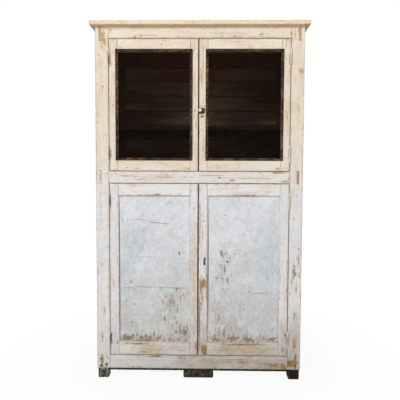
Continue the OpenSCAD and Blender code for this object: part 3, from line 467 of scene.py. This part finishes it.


# Upper doors
# Mortised frames around a woven wire screen, which dark beads hold in a rebate in front. The cream paint is
# the thickest here, with fine cracks at the joints.

# Marks on the stiles and on the cross rails, among them painted shade in the gap between the doors, and
# dirt at the latch
door_z_bare = [
    (-491, 1785, 4.5, 44, 0, 1.3), (-491, 1272, 4.5, 42, 0, 1.2), (494, 1785, 3, 42, 0, 0.9),
    (494, 1272, 3, 40, 0, 0.9), (-476, 1540, 8, 5, 10, 0.9), (20, 1850, 4, 60, 0, 0.8),
    (10, 1690, 5, 60, 0, 0.7), (-31, 1840, 8, 50, 0, 0.5), (492, 1800, 4, 90, 0, 0.7),
    (480, 1480, 8, 90, 0, 0.5), (17, 1478, 15, 8, 0, 1.4), (12, 1500, 4, 40, 0, 0.9),
]
door_z_thin = [
    (-28, 1540, 22, 300, 0, 0.6), (18, 1720, 11, 130, 0, 1.6), (-33, 1650, 9, 160, 0, 0.8),
    (478, 1500, 14, 130, 0, 0.15), (-484, 1700, 10, 150, 0, 0.5), (24, 1350, 14, 120, 0, 0.7),
]
# Dirt, and painted shade along the gap between the doors
door_z_dirt_and_shade = [
    (-24, 1513, 3.2, 15, 12, 1.5), (-14, 1508, 3, 13, -10, 1.5), (12, 1538, 11, 2.5, 30, 0.8),
    (26, 1534, 9, 2.5, -25, 0.8), (43, 1508, 3, 13, 0, 0.9), (-4, 1540, 4.2, 364, 0, 4.0),
    (-499, 1780, 3, 19, 0, 1.0), (37, 1745, 4, 4, 0, 0.9), (17, 1480, 12, 5, 0, 1.1),
]
door_x_bare = [
    (-189, 1892, 4, 4, 0, 0.9), (273, 1856, 6, 4.5, 0, 1.2), (-341, 1192, 20, 5, 8, 1.0),
    (200, 1886, 110, 3, 0, 0.6), (440, 1192, 30, 7, 0, 0.8), (-60, 1192, 60, 8, 0, 0.5),
]
door_x_dark = [
    (-209, 1873, 5, 4, 0, 1.0), (-402, 1197, 4.5, 3.5, 0, 1.3), (-189, 1892, 4, 4, 0, 0.8),
]
upper_stiles = painted_pine("chalk_paint_on_upper_stiles", "z", "#e7d5bd", "#e6ddd2", door_z_bare,
                            door_z_thin, door_z_dirt_and_shade, wear=0.02)
upper_cross = painted_pine("chalk_paint_on_upper_door_rails", "x", "#e9d8c0", "#e6ddd1", door_x_bare, (),
                           door_x_dark)


def bead_paint(name):
    """Nearly black brown paint on a thin bead, dull, and picked off in crumbs of 8 mm and less, where tan
    wood shows."""
    made, tree, at = finish_named(name, {"Roughness": 0.65, "Specular IOR Level": 0.15})
    crumbs = add(tree, "TexNoise", {"Vector": at, "Scale": 1000 / 8, "Detail": 8.0,
                                    "Roughness": 0.8}).outputs[0]
    broad = add(tree, "TexNoise", {"Vector": at, "Scale": 1000 / 55, "Detail": 3.0}).outputs[0]
    picked = add(tree, "Math", {0: broad, 1: 0.25, 2: crumbs}, operation="MULTIPLY_ADD").outputs[0]
    skin = add(tree, "Mix", {0: broad, 6: colour("#120c08"), 7: colour("#2a1f16")},
               data_type="RGBA").outputs[2]
    face = laid_over(tree, skin, [(picked, 0.645, 0.71, 0.9, "#86704f")])
    return finished(made, face, crumbs, 0.8, 1.5)


def oxidised_wire(name):
    """Steel wire that has gone dull and dark brown with rust, in patches about 30 mm wide."""
    made, tree, at = finish_named(name, {"Roughness": 0.8, "Specular IOR Level": 0.15})
    rust = add(tree, "TexNoise", {"Vector": at, "Scale": 1000 / 33, "Detail": 5.0,
                                  "Roughness": 0.7}).outputs[0]
    face = laid_over(tree, colour("#140d09"), [(rust, 0.38, 0.62, 1.0, "#2b1c13")])
    return finished(made, face)


def woven_wires(name, node, body, material, across, pitch_mm=4.5, wire_mm=0.9):
    """The wires of plain woven cloth that stand side by side along one axis, in the place of the CAD
    screen. The real cloth has about 2 mm between its wires, and is drawn at 4.5 mm, so that the wires can
    be made as wires."""
    low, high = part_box(node)
    along = 2 - across
    count = 2 * round((high[across] - low[across]) * 500 / pitch_mm)
    steps = 2 * round((high[along] - low[along]) * 500 / pitch_mm)
    gap = (high[across] - low[across]) / count
    step = (high[along] - low[along]) / steps
    wire_r = wire_mm / 2000
    wave = (high.y - low.y) / 2 - wire_r
    shape = bmesh.new()
    for i in (0, 1):
        ring = bmesh.ops.create_circle(shape, cap_ends=False, segments=3, radius=wire_r)["verts"]
        if along == 0:
            bmesh.ops.rotate(shape, verts=ring, cent=(0, 0, 0), matrix=Matrix.Rotation(math.pi / 2, 3, "Y"))
        rise = 1 if (i + across // 2) % 2 else -1
        start = Vector((0, (low.y + high.y) / 2 + wave * rise, 0))
        start[across] = low[across] + (i + 0.5) * gap
        start[along] = low[along]
        bmesh.ops.translate(shape, verts=ring, vec=start)
        edges = list({e for v in ring for e in v.link_edges})
        for k in range(steps):
            grown = bmesh.ops.extrude_edge_only(shape, edges=edges)["geom"]
            edges = [g for g in grown if isinstance(g, bmesh.types.BMEdge)]
            move = Vector((0, -2 * wave * rise, 0))
            move[along] = step
            rise = -rise
            ends = [g for g in grown if isinstance(g, bmesh.types.BMVert)]
            bmesh.ops.translate(shape, verts=ends, vec=move)
    bmesh.ops.recalc_face_normals(shape, faces=shape.faces)
    for face in shape.faces:
        face.smooth = True
    made = placed(name, shape, body, material, [node])
    rows = made.modifiers.new("side_by_side", "ARRAY")
    rows.count = count // 2
    rows.use_relative_offset = False
    rows.use_constant_offset = True
    offset = Vector((0, 0, 0))
    offset[across] = 2 * gap
    rows.constant_offset_displace = offset
    return made


bead_finish = bead_paint("dark_brown_bead_paint")
wire_finish = oxidised_wire("oxidised_wire_cloth")
for side in ("left", "right"):
    door, body = f"upper_{side}", f"upper_{side}_door"
    dressed(f"{door}_stiles", [f"{door}_hinge_stile", f"{door}_meeting_stile"], body, upper_stiles)
    dressed(f"{door}_cross_rails", [f"{door}_rails"], body, upper_cross)
    dressed(f"{door}_dark_beads", [f"{door}_beads"], body, bead_finish)
    woven_wires(f"{door}_upright_wires", f"{door}_screen", body, wire_finish, 0)
    woven_wires(f"{door}_level_wires", f"{door}_screen", body, wire_finish, 2)


# Lower doors
# The same frames around a flat panel, with a small bevel towards it that is worn to the wood. The panels
# keep a cool grey paint, cracked across at the joints of their boards and flaking off along the bottom.

# Marks on the stiles, the cross rails and the two panels: flakes, thin places, then cracks, dirt and
# painted shade in the gap between the doors, beside the hinge knuckles, at the keyhole and along the left
# and top edges of the panels
low_z_bare = [
    (-493, 228, 5, 46, 0, 1.4), (-493, 1009, 3, 44, 0, 0.9), (496, 226, 4, 44, 0, 1.0),
    (28, 544, 22, 42, 0, 1.1), (11, 524, 9, 75, 0, 1.2), (32, 167, 22, 38, -10, 1.6),
    (6, 318, 6, 200, 0, 1.2), (6, 880, 3.5, 260, 0, 0.7), (-30, 969, 8, 14, 20, 0.8),
    (476, 170, 9, 25, 0, 0.9), (20, 460, 5, 60, 0, 0.8), (14, 420, 6, 50, 0, 0.8),
    (42, 600, 4, 60, 0, 0.7), (44, 480, 4, 60, 0, 0.7), (-462, 205, 8, 22, 15, 0.9),
    (-16, 190, 10, 40, 0, 0.7), (489, 260, 6, 50, 0, 0.7), (20, 820, 4, 60, 0, 0.6),
]
low_z_thin = [
    (-27, 560, 26, 480, 0, 1.3), (25, 500, 24, 120, 0, 0.8), (25, 250, 24, 150, 0, 0.8),
    (-20, 300, 20, 170, 0, 0.7), (-480, 500, 18, 300, 0, 0.4), (476, 250, 16, 120, 0, 0.6),
    (10, 900, 10, 150, 0, 0.5),
]
# Dirt, and painted shade along the gap between the doors, above the keyhole and, with dirt, beside the hinge
# knuckles
low_z_dirt_and_shade = [
    (-4, 618, 4.2, 492, 0, 4.0), (33, 682, 7.5, 17, 4, 2.0), (-494, 228, 3.5, 46, 0, 0.5),
    (-494, 1009, 3, 44, 0, 0.7), (497, 226, 3, 44, 0, 0.8), (25, 901, 4, 5, 0, 1.1),
    (32, 640, 4, 4, 0, 1.1),
]
low_x_bare = [
    (-234, 1049, 32, 6, 0, 1.2), (-352, 198, 105, 7, 0, 0.9), (250, 199, 190, 7, 0, 0.9),
    (-300, 152, 60, 4, 0, 0.7), (260, 165, 14, 6, 0, 0.8), (250, 1046, 190, 6, 0, 0.7),
    (-252, 1044, 190, 4, 0, 0.5),
]
low_x_thin = [
    (-250, 170, 210, 42, 0, 0.9), (250, 170, 210, 42, 0, 1.2),
]
panel_bare = [
    (-108, 715, 9, 15, 8, 1.0), (-210, 517, 5, 15, 10, 1.0), (-125, 510, 6, 18, 0, 1.1),
    (-192, 339, 5, 26, -12, 1.1), (-88, 482, 4, 18, 0, 0.8), (-76, 262, 15, 25, 15, 1.15),
    (-125, 321, 9, 11, 0, 0.9), (-127, 266, 8, 12, 0, 1.0), (-66, 300, 6, 24, 0, 1.1),
    (-398, 229, 32, 13, 0, 1.1), (-350, 251, 6, 17, 0, 1.0), (-325, 232, 13, 11, 0, 1.0),
    (-253, 254, 6, 31, 3, 1.0), (-291, 216, 28, 8, 0, 1.1), (-140, 430, 5, 60, 0, 0.75),
    (-165, 440, 4, 50, 0, 0.6), (-120, 400, 4, 60, 0, 0.65), (-382, 552, 9, 13, -25, 0.8),
    (-411, 445, 6, 12, 30, 0.8), (-363, 425, 8, 6, 0, 0.7), (127, 717, 9, 36, -8, 0.9),
    (159, 720, 4, 17, -4, 1.0), (160, 672, 11, 8, 35, 1.3), (203, 716, 4, 8, 0, 0.9),
    (147, 629, 4, 34, 3, 0.85), (165, 559, 5, 26, -6, 1.1), (102, 578, 16, 8, 30, 0.7),
    (145, 267, 4.5, 36, 2, 1.0), (104, 224, 34, 10, 8, 0.45), (196, 232, 50, 14, -5, 0.4),
    (282, 222, 40, 8, 3, 0.5), (420, 228, 34, 12, 0, 0.45), (-420, 236, 12, 20, 0, 1.0),
    (-372, 246, 8, 22, 10, 0.9), (-300, 238, 9, 16, 0, 0.9), (-276, 232, 16, 7, 0, 0.9),
    (-110, 300, 4, 34, 0, 0.8), (-150, 470, 3.5, 34, 0, 0.8), (-104, 455, 4, 26, 0, 0.8),
    (-135, 345, 6, 10, 0, 0.8), (140, 700, 3.5, 30, 6, 0.8), (175, 690, 3, 26, 0, 0.7),
    (120, 640, 3.5, 26, 10, 0.7), (185, 610, 3, 30, 0, 0.6), (257, 395, 7, 16, 0, 0.6),
    (452, 323, 6, 8, 0, 1.1), (152, 933, 20, 4, 8, 0.55), (-430, 905, 8, 12, 0, 0.7),
]
panel_thin = [
    (-160, 426, 95, 95, 0, 1.15), (-90, 290, 60, 100, 0, 1.0), (170, 300, 110, 120, 0, 0.8),
    (140, 600, 80, 180, 0, 0.9), (-250, 240, 190, 40, 0, 0.5), (250, 235, 190, 40, 0, 0.5),
    (-176, 919, 12, 18, 0, 0.7), (140, 715, 44, 60, 0, 1.1), (120, 340, 100, 220, 0, 0.9),
]
# Cracks and dirt on the panels, and painted shadow, with some dirt, along their left and top edges under the
# frames
panel_dirt_and_shade = [
    (-330, 905, 118, 2.2, 2.5, 0.7), (-180, 521, 150, 2.0, 0.5, 0.7), (-300, 696, 120, 1.6, 0, 0.5),
    (-395, 517, 55, 2.4, 2, 0.8), (-150, 300, 3, 22, -8, 0.6), (-170, 318, 3, 26, 10, 0.5),
    (-62, 280, 4, 30, 0, 0.7), (-449, 600, 6.5, 640, 0, 1.5), (-250, 1038, 205, 3.5, 0, 0.5),
    (53, 620, 5, 620, 0, 0.9), (250, 1038, 205, 3.5, 0, 0.5), (-226, 887, 116, 2.6, 5.1, 0.9),
    (-375, 901, 40, 1.8, 2, 0.5), (-302, 523, 92, 2.4, 2.0, 0.9), (-117, 516, 58, 2.2, 0, 0.8),
    (-386, 690, 60, 1.6, 0, 0.45), (345, 493, 70, 2.8, -1.5, 1.0), (286, 503, 2.6, 13, -35, 0.9),
    (-366, 777, 5, 7, 30, 0.6), (-346, 703, 6, 6, 0, 0.5), (-380, 320, 8, 10, 0, 0.55),
    (165, 559, 3, 18, -6, 0.9), (160, 670, 7, 5, 35, 0.8), (127, 717, 5, 26, -8, 0.5),
    (147, 629, 2.6, 30, 3, 0.7), (356, 926, 11, 3, 25, 0.6), (401, 896, 12, 3, -25, 0.6),
    (140, 935, 11, 2.6, 10, 0.6), (92, 445, 4, 14, 0, 0.6), (113, 440, 3, 18, 0, 0.6),
    (257, 395, 4, 8, 0, 0.7), (-398, 224, 20, 5, 0, 0.6), (-88, 255, 7, 10, 0, 0.6),
    (145, 267, 2.6, 30, 2, 0.6), (95, 578, 14, 2.6, 40, 0.6), (108, 588, 10, 2.6, -30, 0.6),
    (-192, 339, 3, 18, -12, 0.5),
]


def flat_panel_paint(name, bare, thin, dark, blue):
    """Thick grey gloss gone chalky, smoother than the frames: brushed every way, in cool and greenish
    clouds, full of pin holes and scratches, flaked to grey wood at the marks and thickly so just above the
    bottom rails."""
    made, tree, at = finish_named(name, {"Roughness": 0.7, "Specular IOR Level": 0.35})
    high_up = add(tree, "SeparateXYZ", {0: at}).outputs[2]
    slant = add(tree, "Mapping", {0: at, 2: (0, 0.5, 0), 3: (1, 1, 0.3)}).outputs[0]
    upright = add(tree, "VectorMath", {0: at, 1: (1, 1, 0.2)}, operation="MULTIPLY").outputs[0]

    # Chips, mottle, clouds, brush strokes, scratches and drips. Real scratches are nearer 1 mm wide, and
    # are drawn at 6 mm so that they show
    chips, mottle, cloud, brush, cuts, drips = [
        add(tree, "TexNoise", {"Vector": where, "Scale": 1000 / size_mm, "Detail": detail,
                               "Roughness": rough}).outputs[0]
        for where, size_mm, detail, rough in (
            (at, 13, 8.0, 0.78), (at, 42, 7.0, 0.72), (at, 170, 4.0, 0.6), (slant, 17, 5.0, 0.7),
            (slant, 6, 3.0, 0.8), (upright, 8, 3.0, 0.7))]
    drift = add(tree, "TexNoise", {"Vector": at, "Scale": 1000 / 290, "Detail": 2.0,
                                   "Distortion": 1.5}).outputs[0]
    crumbs = add(tree, "TexNoise", {"Vector": at, "Scale": 1000 / 5.3, "Detail": 5.0, "Roughness": 0.75})
    ragged = jittered(tree, at, crumbs, 34)
    uneven = jittered(tree, at, crumbs, 4)

    # How far the paint has gone, more so in the lowest 60 mm
    foot = add(tree, "MapRange", {0: high_up, 1: 0.275, 2: 0.215, 4: 0.42}).outputs[0]
    gone = add(tree, "Math", {0: nearness(tree, ragged, bare), 1: 1.4, 2: foot},
               operation="MULTIPLY_ADD").outputs[0]
    for value, weight in ((chips, 1.9), (mottle, 0.7)):
        gone = add(tree, "Math", {0: value, 1: weight, 2: gone}, operation="MULTIPLY_ADD").outputs[0]
        gone = add(tree, "Math", {0: gone, 1: weight / 2}, operation="SUBTRACT").outputs[0]
    off = add(tree, "MapRange", {0: gone, 1: 0.44, 2: 0.50}).outputs[0]

    # Where it is only thin, and where water ran down it
    thinned = nearness(tree, ragged, thin)
    thinner = add(tree, "Math", {0: thinned, 1: 0.42, 2: gone}, operation="MULTIPLY_ADD").outputs[0]
    wetted = add(tree, "MapRange", {0: high_up, 1: 0.33, 2: 0.21, 4: 0.12}).outputs[0]
    wetted = add(tree, "Math", {0: thinned, 1: 0.17, 2: wetted}, operation="MULTIPLY_ADD").outputs[0]
    wetted = add(tree, "Math", {0: wetted, 1: drips}, operation="ADD").outputs[0]

    face = laid_over(tree, colour("#bdbbb8"), (
        (high_up, 0.22, 0.80, 1.0, "#e2e5eb"), (drift, 0.40, 0.62, 0.50, "#d2d3cc"),
        (cloud, 0.46, 0.66, 0.45, "#e6eaee"), (cloud, 0.46, 0.30, 0.40, "#bfc4c8"),
        (nearness(tree, at, blue), 0.0, 0.6, 0.75, "#c6d0d9"), (mottle, 0.52, 0.68, 0.42, "#b3aca3"),
        (mottle, 0.48, 0.34, 0.48, "#f0f2f4"), (brush, 0.54, 0.70, 0.36, "#a49e95"),
        (brush, 0.46, 0.32, 0.36, "#f0f2f4"), (thinner, 0.12, 0.50, 0.50, "#b9a692"),
        (cuts, 0.62, 0.72, 0.50, "#857d74"), (wetted, 0.67, 0.75, 0.70, "#766759"),
        (crumbs.outputs[0], 0.60, 0.70, 0.70, "#756a5e")))
    wood = laid_over(tree, colour("#a08c78"), [(crumbs.outputs[0], 0.4, 0.6, 1.0, "#84705c")])
    face = add(tree, "Mix", {0: off, 6: face, 7: wood}, data_type="RGBA").outputs[2]
    # Dark marks: cracks, dirt, and painted shadow along the edges of the panel under its frame
    face = laid_over(tree, face, [(nearness(tree, uneven, dark), 0.1, 0.5, 0.85, "#4d4238")])

    relief = add(tree, "Math", {0: off, 1: -0.6, 2: brush}, operation="MULTIPLY_ADD").outputs[0]
    relief = add(tree, "Math", {0: chips, 1: 0.5, 2: relief}, operation="MULTIPLY_ADD").outputs[0]
    return finished(made, face, relief, 0.5, 1.2)


# Where the paint of the panels is bluer
panel_blue = [
    (400, 690, 95, 250, 0, 1.0), (330, 820, 60, 90, 0, 0.6), (-400, 640, 60, 240, 0, 0.7),
    (395, 420, 80, 80, 0, 0.5), (-330, 780, 90, 110, 0, 0.4),
]
lower_stiles = painted_pine("chalk_paint_on_lower_stiles", "z", "#e9e7e5", "#e3e4e9", low_z_bare, low_z_thin,
                            low_z_dirt_and_shade, wear=0.02)
lower_cross = painted_pine("chalk_paint_on_lower_door_rails", "x", "#eae7e3", "#e8e7e6", low_x_bare,
                           low_x_thin, (), wear=0.03)
for side, way in (("left", -1), ("right", 1)):
    door, body = f"lower_{side}", f"lower_{side}_door"
    dressed(f"{door}_stiles", [f"{door}_hinge_stile", f"{door}_meeting_stile"], body, lower_stiles)
    dressed(f"{door}_cross_rails", [f"{door}_rails"], body, lower_cross)
    own_marks = [[mark for mark in marks if mark[0] * way > 0]
                 for marks in (panel_bare, panel_thin, panel_dirt_and_shade, panel_blue)]
    panel_finish = flat_panel_paint(f"grey_paint_on_{side}_panel", *own_marks)
    dressed(f"{door}_flat_panel", [f"{door}_panel"], body, panel_finish)


# Hinges
# Cast iron butt hinges with five knuckles and a loose pin. They were painted over with the doors, and the
# paint has come off the knuckles, where they turn.

def painted_iron(name, rust_share, shade_marks=(), deep="#0f0d0b"):
    """Cast iron under old paint, dull, through which brown rust has come in patches, the more so to the
    left, and with painted shade at the places that are given, such as in a keyhole and beside a knuckle."""
    made, tree, at = finish_named(name, {"Roughness": 0.7})
    patches = add(tree, "TexNoise", {"Vector": at, "Scale": 1000 / 17, "Detail": 8.0,
                                     "Roughness": 0.8}).outputs[0]
    specks = add(tree, "TexNoise", {"Vector": at, "Scale": 1000 / 2.5, "Detail": 4.0,
                                    "Roughness": 0.7}).outputs[0]
    left = add(tree, "SeparateXYZ", {0: at}).outputs[0]
    left = add(tree, "MapRange", {0: left, 1: 0.4, 2: -0.4, 3: rust_share - 0.54,
                                  4: rust_share - 0.47}).outputs[0]
    field = add(tree, "Math", {0: patches, 1: left}, operation="ADD").outputs[0]
    off = add(tree, "MapRange", {0: field, 1: 0.47, 2: 0.52}).outputs[0]
    paint = laid_over(tree, colour("#ece4d6"), [(specks, 0.35, 0.65, 1.0, "#d9cdb8")])
    rust = laid_over(tree, colour("#5b4735"), [(specks, 0.35, 0.65, 1.0, "#957b5c")])
    face = add(tree, "Mix", {0: off, 6: paint, 7: rust}, data_type="RGBA").outputs[2]
    # Painted shade at the given places, in the colour given as deep
    face = laid_over(tree, face, [(nearness(tree, at, shade_marks), 0.1, 0.4, 1.0, deep)])
    relief = add(tree, "Math", {0: off, 1: -0.7, 2: specks}, operation="MULTIPLY_ADD").outputs[0]
    return finished(made, face, relief, 0.5, 0.6)


def rusty_iron(name):
    """Bare iron, brown and black with rust in patches of 8 mm, with a low gleam where hands polish it."""
    made, tree, at = finish_named(name, {"Roughness": 0.55, "Metallic": 0.5})
    patches = add(tree, "TexNoise", {"Vector": at, "Scale": 1000 / 8, "Detail": 6.0,
                                     "Roughness": 0.7}).outputs[0]
    face = laid_over(tree, colour("#18110d"), [(patches, 0.38, 0.65, 1.0, "#4b3426")])
    return finished(made, face, patches, 0.4, 0.5)


# Painted shadow darkens the right of each knuckle, more widely on the left doors
hinge_shadow = ([(-498, z, 8, 60, 0, 0.8) for z in (228, 1009, 1270, 1785)]
              + [(505, z, 3, 60, 0, 1.5) for z in (1009, 1270, 1785)] + [(503, 226, 8, 60, 0, 0.5)])
hinge_finish = painted_iron("painted_iron_hinges", 0.42, hinge_shadow, "#7a654c")
iron_finish = rusty_iron("rusty_iron_fittings")
dressed("fixed_leaves_of_hinges", ["case_hinge_leaves"], "case", hinge_finish, ease=0.0002)
dressed("pins_of_hinges", ["hinge_pins"], "case", hinge_finish, ease=0.0002)
for door in ("upper_left", "upper_right", "lower_left", "lower_right"):
    dressed(f"{door}_leaves_of_hinges", [f"{door}_hinge_leaves"], f"{door}_door", hinge_finish,
            ease=0.0002)


# Cupboard turn
# Iron case with four ears on the right door, a tongue on a spindle, and a white porcelain knob. Its keeper
# on the left door was painted over.

def porcelain(name):
    """Glazed white porcelain: a sharp gloss over white that has yellowed in clouds of 6 mm."""
    made, tree, at = finish_named(name, {"Roughness": 0.12, "Coat Weight": 0.6, "Coat Roughness": 0.05})
    cloud = add(tree, "TexNoise", {"Vector": at, "Scale": 1000 / 6, "Detail": 4.0}).outputs[0]
    glaze = laid_over(tree, colour("#f4f1ea"), [(cloud, 0.4, 0.7, 1.0, "#e3ddd0")])
    return finished(made, glaze)


knob_finish = porcelain("glazed_white_porcelain")
keeper_finish = painted_iron("painted_iron_keeper", 0.42)
dressed("case_of_turn", ["turn_case"], "upper_right_door", iron_finish, ease=0.0003)
dressed("tongue_of_turn", ["turn_tongue"], "cupboard_turn", iron_finish, ease=0.0002)
dressed("keeper_of_turn", ["turn_keeper"], "upper_left_door", keeper_finish, ease=0.0004)
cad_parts["porcelain_knob"].data.materials.clear()
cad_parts["porcelain_knob"].data.materials.append(knob_finish)


# Lock and shoot bolts
# A rim lock inside the right door with its keyhole behind a painted escutcheon, and on the inside of each
# left door a shoot bolt in two guides.

# Painted shade that darkens the plate in and around its keyhole
keyhole = [(33, 677, 7, 17, 4, 1.5), (32, 661, 7, 10, 0, 3.0)]
escutcheon_finish = painted_iron("painted_iron_escutcheon", 0.36, keyhole)
dressed("escutcheon_dressed", ["escutcheon"], "lower_right_door", escutcheon_finish,
        ease=0.0004)
dressed("case_of_lock", ["lock_case"], "lower_right_door", iron_finish, ease=0.0005)
dressed("bolt_of_lock", ["lock_bolt"], "lock_bolt", iron_finish, ease=0.0004)
for row in ("upper", "lower"):
    dressed(f"{row}_guides_of_bolt", [f"{row}_bolt_guides"], f"{row}_left_door", iron_finish,
            ease=0.0003)
    dressed(f"{row}_rod_of_bolt", [f"{row}_shoot_bolt"], f"{row}_shoot_bolt", iron_finish,
            ease=0.0003)


# Screws and nails
# Low domed screws, their slots filled with rust, hold the turn, the lock and the bolt plates, and small
# nails the escutcheon.

def screws(name, spots, radius_mm, way, body):
    """Heads that stand on a face along y, in front of it for a way of 1 and behind it for -1."""
    head_t, dome = 0.0009, 1.6
    heads = bmesh.new()
    turn = Matrix.Rotation(math.radians(90 * way), 3, "X")
    for spot in spots:
        head = bmesh.ops.create_cone(heads, cap_ends=True, segments=12, radius1=radius_mm / 1000,
                                     radius2=radius_mm / (1000 * dome), depth=head_t)["verts"]
        bmesh.ops.rotate(heads, verts=head, cent=(0, 0, 0), matrix=turn)
        bmesh.ops.translate(heads, verts=head, vec=spot)
    placed(name, heads, body, iron_finish)


def corners(node, in_x, in_z, face_y):
    """Four spots inside the corners of a node's box."""
    low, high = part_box(node)
    return [(x, face_y, z) for x in (low.x + in_x, high.x - in_x) for z in (low.z + in_z, high.z - in_z)]


# The plates are plate_t thick, and the middle of a head is screw_off or nail_off away from its face
plate_t, screw_off, nail_off = 0.0015, 0.0003, 0.0002
turn_low, turn_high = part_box("turn_case")
turn_z = (turn_low.z + turn_high.z) / 2
ears_x, ears_z = (0.0062, 0.0288), (-0.0093, 0.0093)
turn_spots = [(turn_low.x + x, FACE - plate_t - screw_off, turn_z + z) for x in ears_x for z in ears_z]
screws("screws_of_turn", turn_spots, 2.4, 1, "upper_right_door")

lock_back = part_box("lock_case")[1].y
lock_spots = corners("lock_case", 0.006, 0.006, lock_back + screw_off)
screws("screws_of_lock", lock_spots, 3.2, -1, "lower_right_door")
for row in ("upper", "lower"):
    guide_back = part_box(f"{row}_bolt_guides")[0].y + plate_t
    guide_spots = corners(f"{row}_bolt_guides", 0.004, 0.030, guide_back + screw_off)
    screws(f"screws_of_{row}_bolt", guide_spots, 2.2, -1, f"{row}_left_door")

key_low, key_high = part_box("escutcheon")
key_x = (key_low.x + key_high.x) / 2
nail_low, nail_high = key_low.z + 0.004, key_high.z - 0.0025
nail_spots = [(key_x, FACE - plate_t - nail_off, z) for z in (nail_low, nail_high)]
screws("nails_of_escutcheon", nail_spots, 1.4, 1, "lower_right_door")


# Floor, light and camera
# A plain pale floor that runs out of sight, one large soft lamp from the upper left and even light all
# round.

def looked_at(tree):
    """1 for what the camera, a reflection or a view through something sees, and 0 for light on the
    object."""
    path = add(tree, "LightPath").outputs
    seen = add(tree, "Math", {0: path["Is Camera Ray"], 1: path["Is Glossy Ray"]},
               operation="MAXIMUM").outputs[0]
    return add(tree, "Math", {0: seen, 1: path["Is Transmission Ray"]}, operation="MAXIMUM").outputs[0]


def lit_floor(name):
    """Pale floor that reads as white, a little less so near the object, and still takes its shadow."""
    made, tree, at = finish_named(name, {})
    tree.nodes.remove(tree.nodes["Principled BSDF"])
    away = add(tree, "VectorMath", {0: at}, operation="LENGTH").outputs[1]
    bright = add(tree, "MapRange", {0: away, 1: 0.6, 2: 1.5, 3: 0.94, 4: 1.0}).outputs[0]
    share = add(tree, "Math", {0: looked_at(tree), 1: bright}, operation="MULTIPLY").outputs[0]
    matt = add(tree, "BsdfDiffuse", {0: colour("#dcdcdc")}).outputs[0]
    white = add(tree, "Emission", {0: (1, 1, 1, 1), 1: 1.0}).outputs[0]
    mixed = add(tree, "MixShader", {0: share, 1: matt, 2: white}).outputs[0]
    tree.links.new(mixed, tree.nodes["Material Output"].inputs[0])
    return made


ground = bmesh.new()
bmesh.ops.create_grid(ground, x_segments=1, y_segments=1, size=20.0)
floor_mesh = bpy.data.meshes.new("floor_of_room")
ground.to_mesh(floor_mesh)
ground.free()
floor = bpy.data.objects.new("floor_of_room", floor_mesh)
floor_mesh.materials.append(lit_floor("pale_floor"))
bpy.context.scene.collection.objects.link(floor)

world = bpy.data.worlds.new("even_light")
bpy.context.scene.world = world
world.use_nodes = True
sky = world.node_tree
sky.nodes.clear()
around = add(sky, "Background", {0: (1, 1, 1, 1), 1: 0.32}).outputs[0]
behind = add(sky, "Background", {0: (1, 1, 1, 1), 1: 1.0}).outputs[0]
mixed = add(sky, "MixShader", {0: looked_at(sky), 1: around, 2: behind}).outputs[0]
sky.links.new(mixed, add(sky, "OutputWorld").inputs[0])


def soft_lamp(name, place, target, size, power):
    """A square lamp that faces a point."""
    lamp = bpy.data.lights.new(name, "AREA")
    lamp.shape = "SQUARE"
    lamp.size = size
    lamp.energy = power
    made = bpy.data.objects.new(name, lamp)
    made.location = place
    made.rotation_euler = (Vector(target) - Vector(place)).to_track_quat("-Z", "Y").to_euler()
    bpy.context.scene.collection.objects.link(made)


soft_lamp("window_light", (-2.7, -5.2, 4.6), (0, -0.2, 1.1), 2.0, 232)
soft_lamp("fill_light", (2.4, -4.6, 2.2), (0, -0.2, 1.1), 3.0, 48)

lens = bpy.data.cameras.new("view_of_photo")
lens.sensor_width = 36
lens.lens = 38.7
eye = bpy.data.objects.new("view_of_photo", lens)

# The camera's place and turn, in radians, as fitted to the photo
eye_at = (0.0441, -2.6392, 1.1402)
yaw, pitch, roll = -0.016, 0.051, 0.004
ahead = Vector((math.sin(yaw) * math.cos(pitch), math.cos(yaw) * math.cos(pitch), -math.sin(pitch)))
level = Vector((math.cos(yaw), -math.sin(yaw), 0))
upright = level.cross(ahead)
across = level * math.cos(roll) + upright * math.sin(roll)
upwards = upright * math.cos(roll) - level * math.sin(roll)
turned = Matrix((across, upwards, -ahead)).transposed().to_4x4()
eye.matrix_world = Matrix.Translation(eye_at) @ turned
bpy.context.scene.collection.objects.link(eye)
bpy.context.scene.camera = eye
bpy.context.scene.view_settings.view_transform = "Standard"
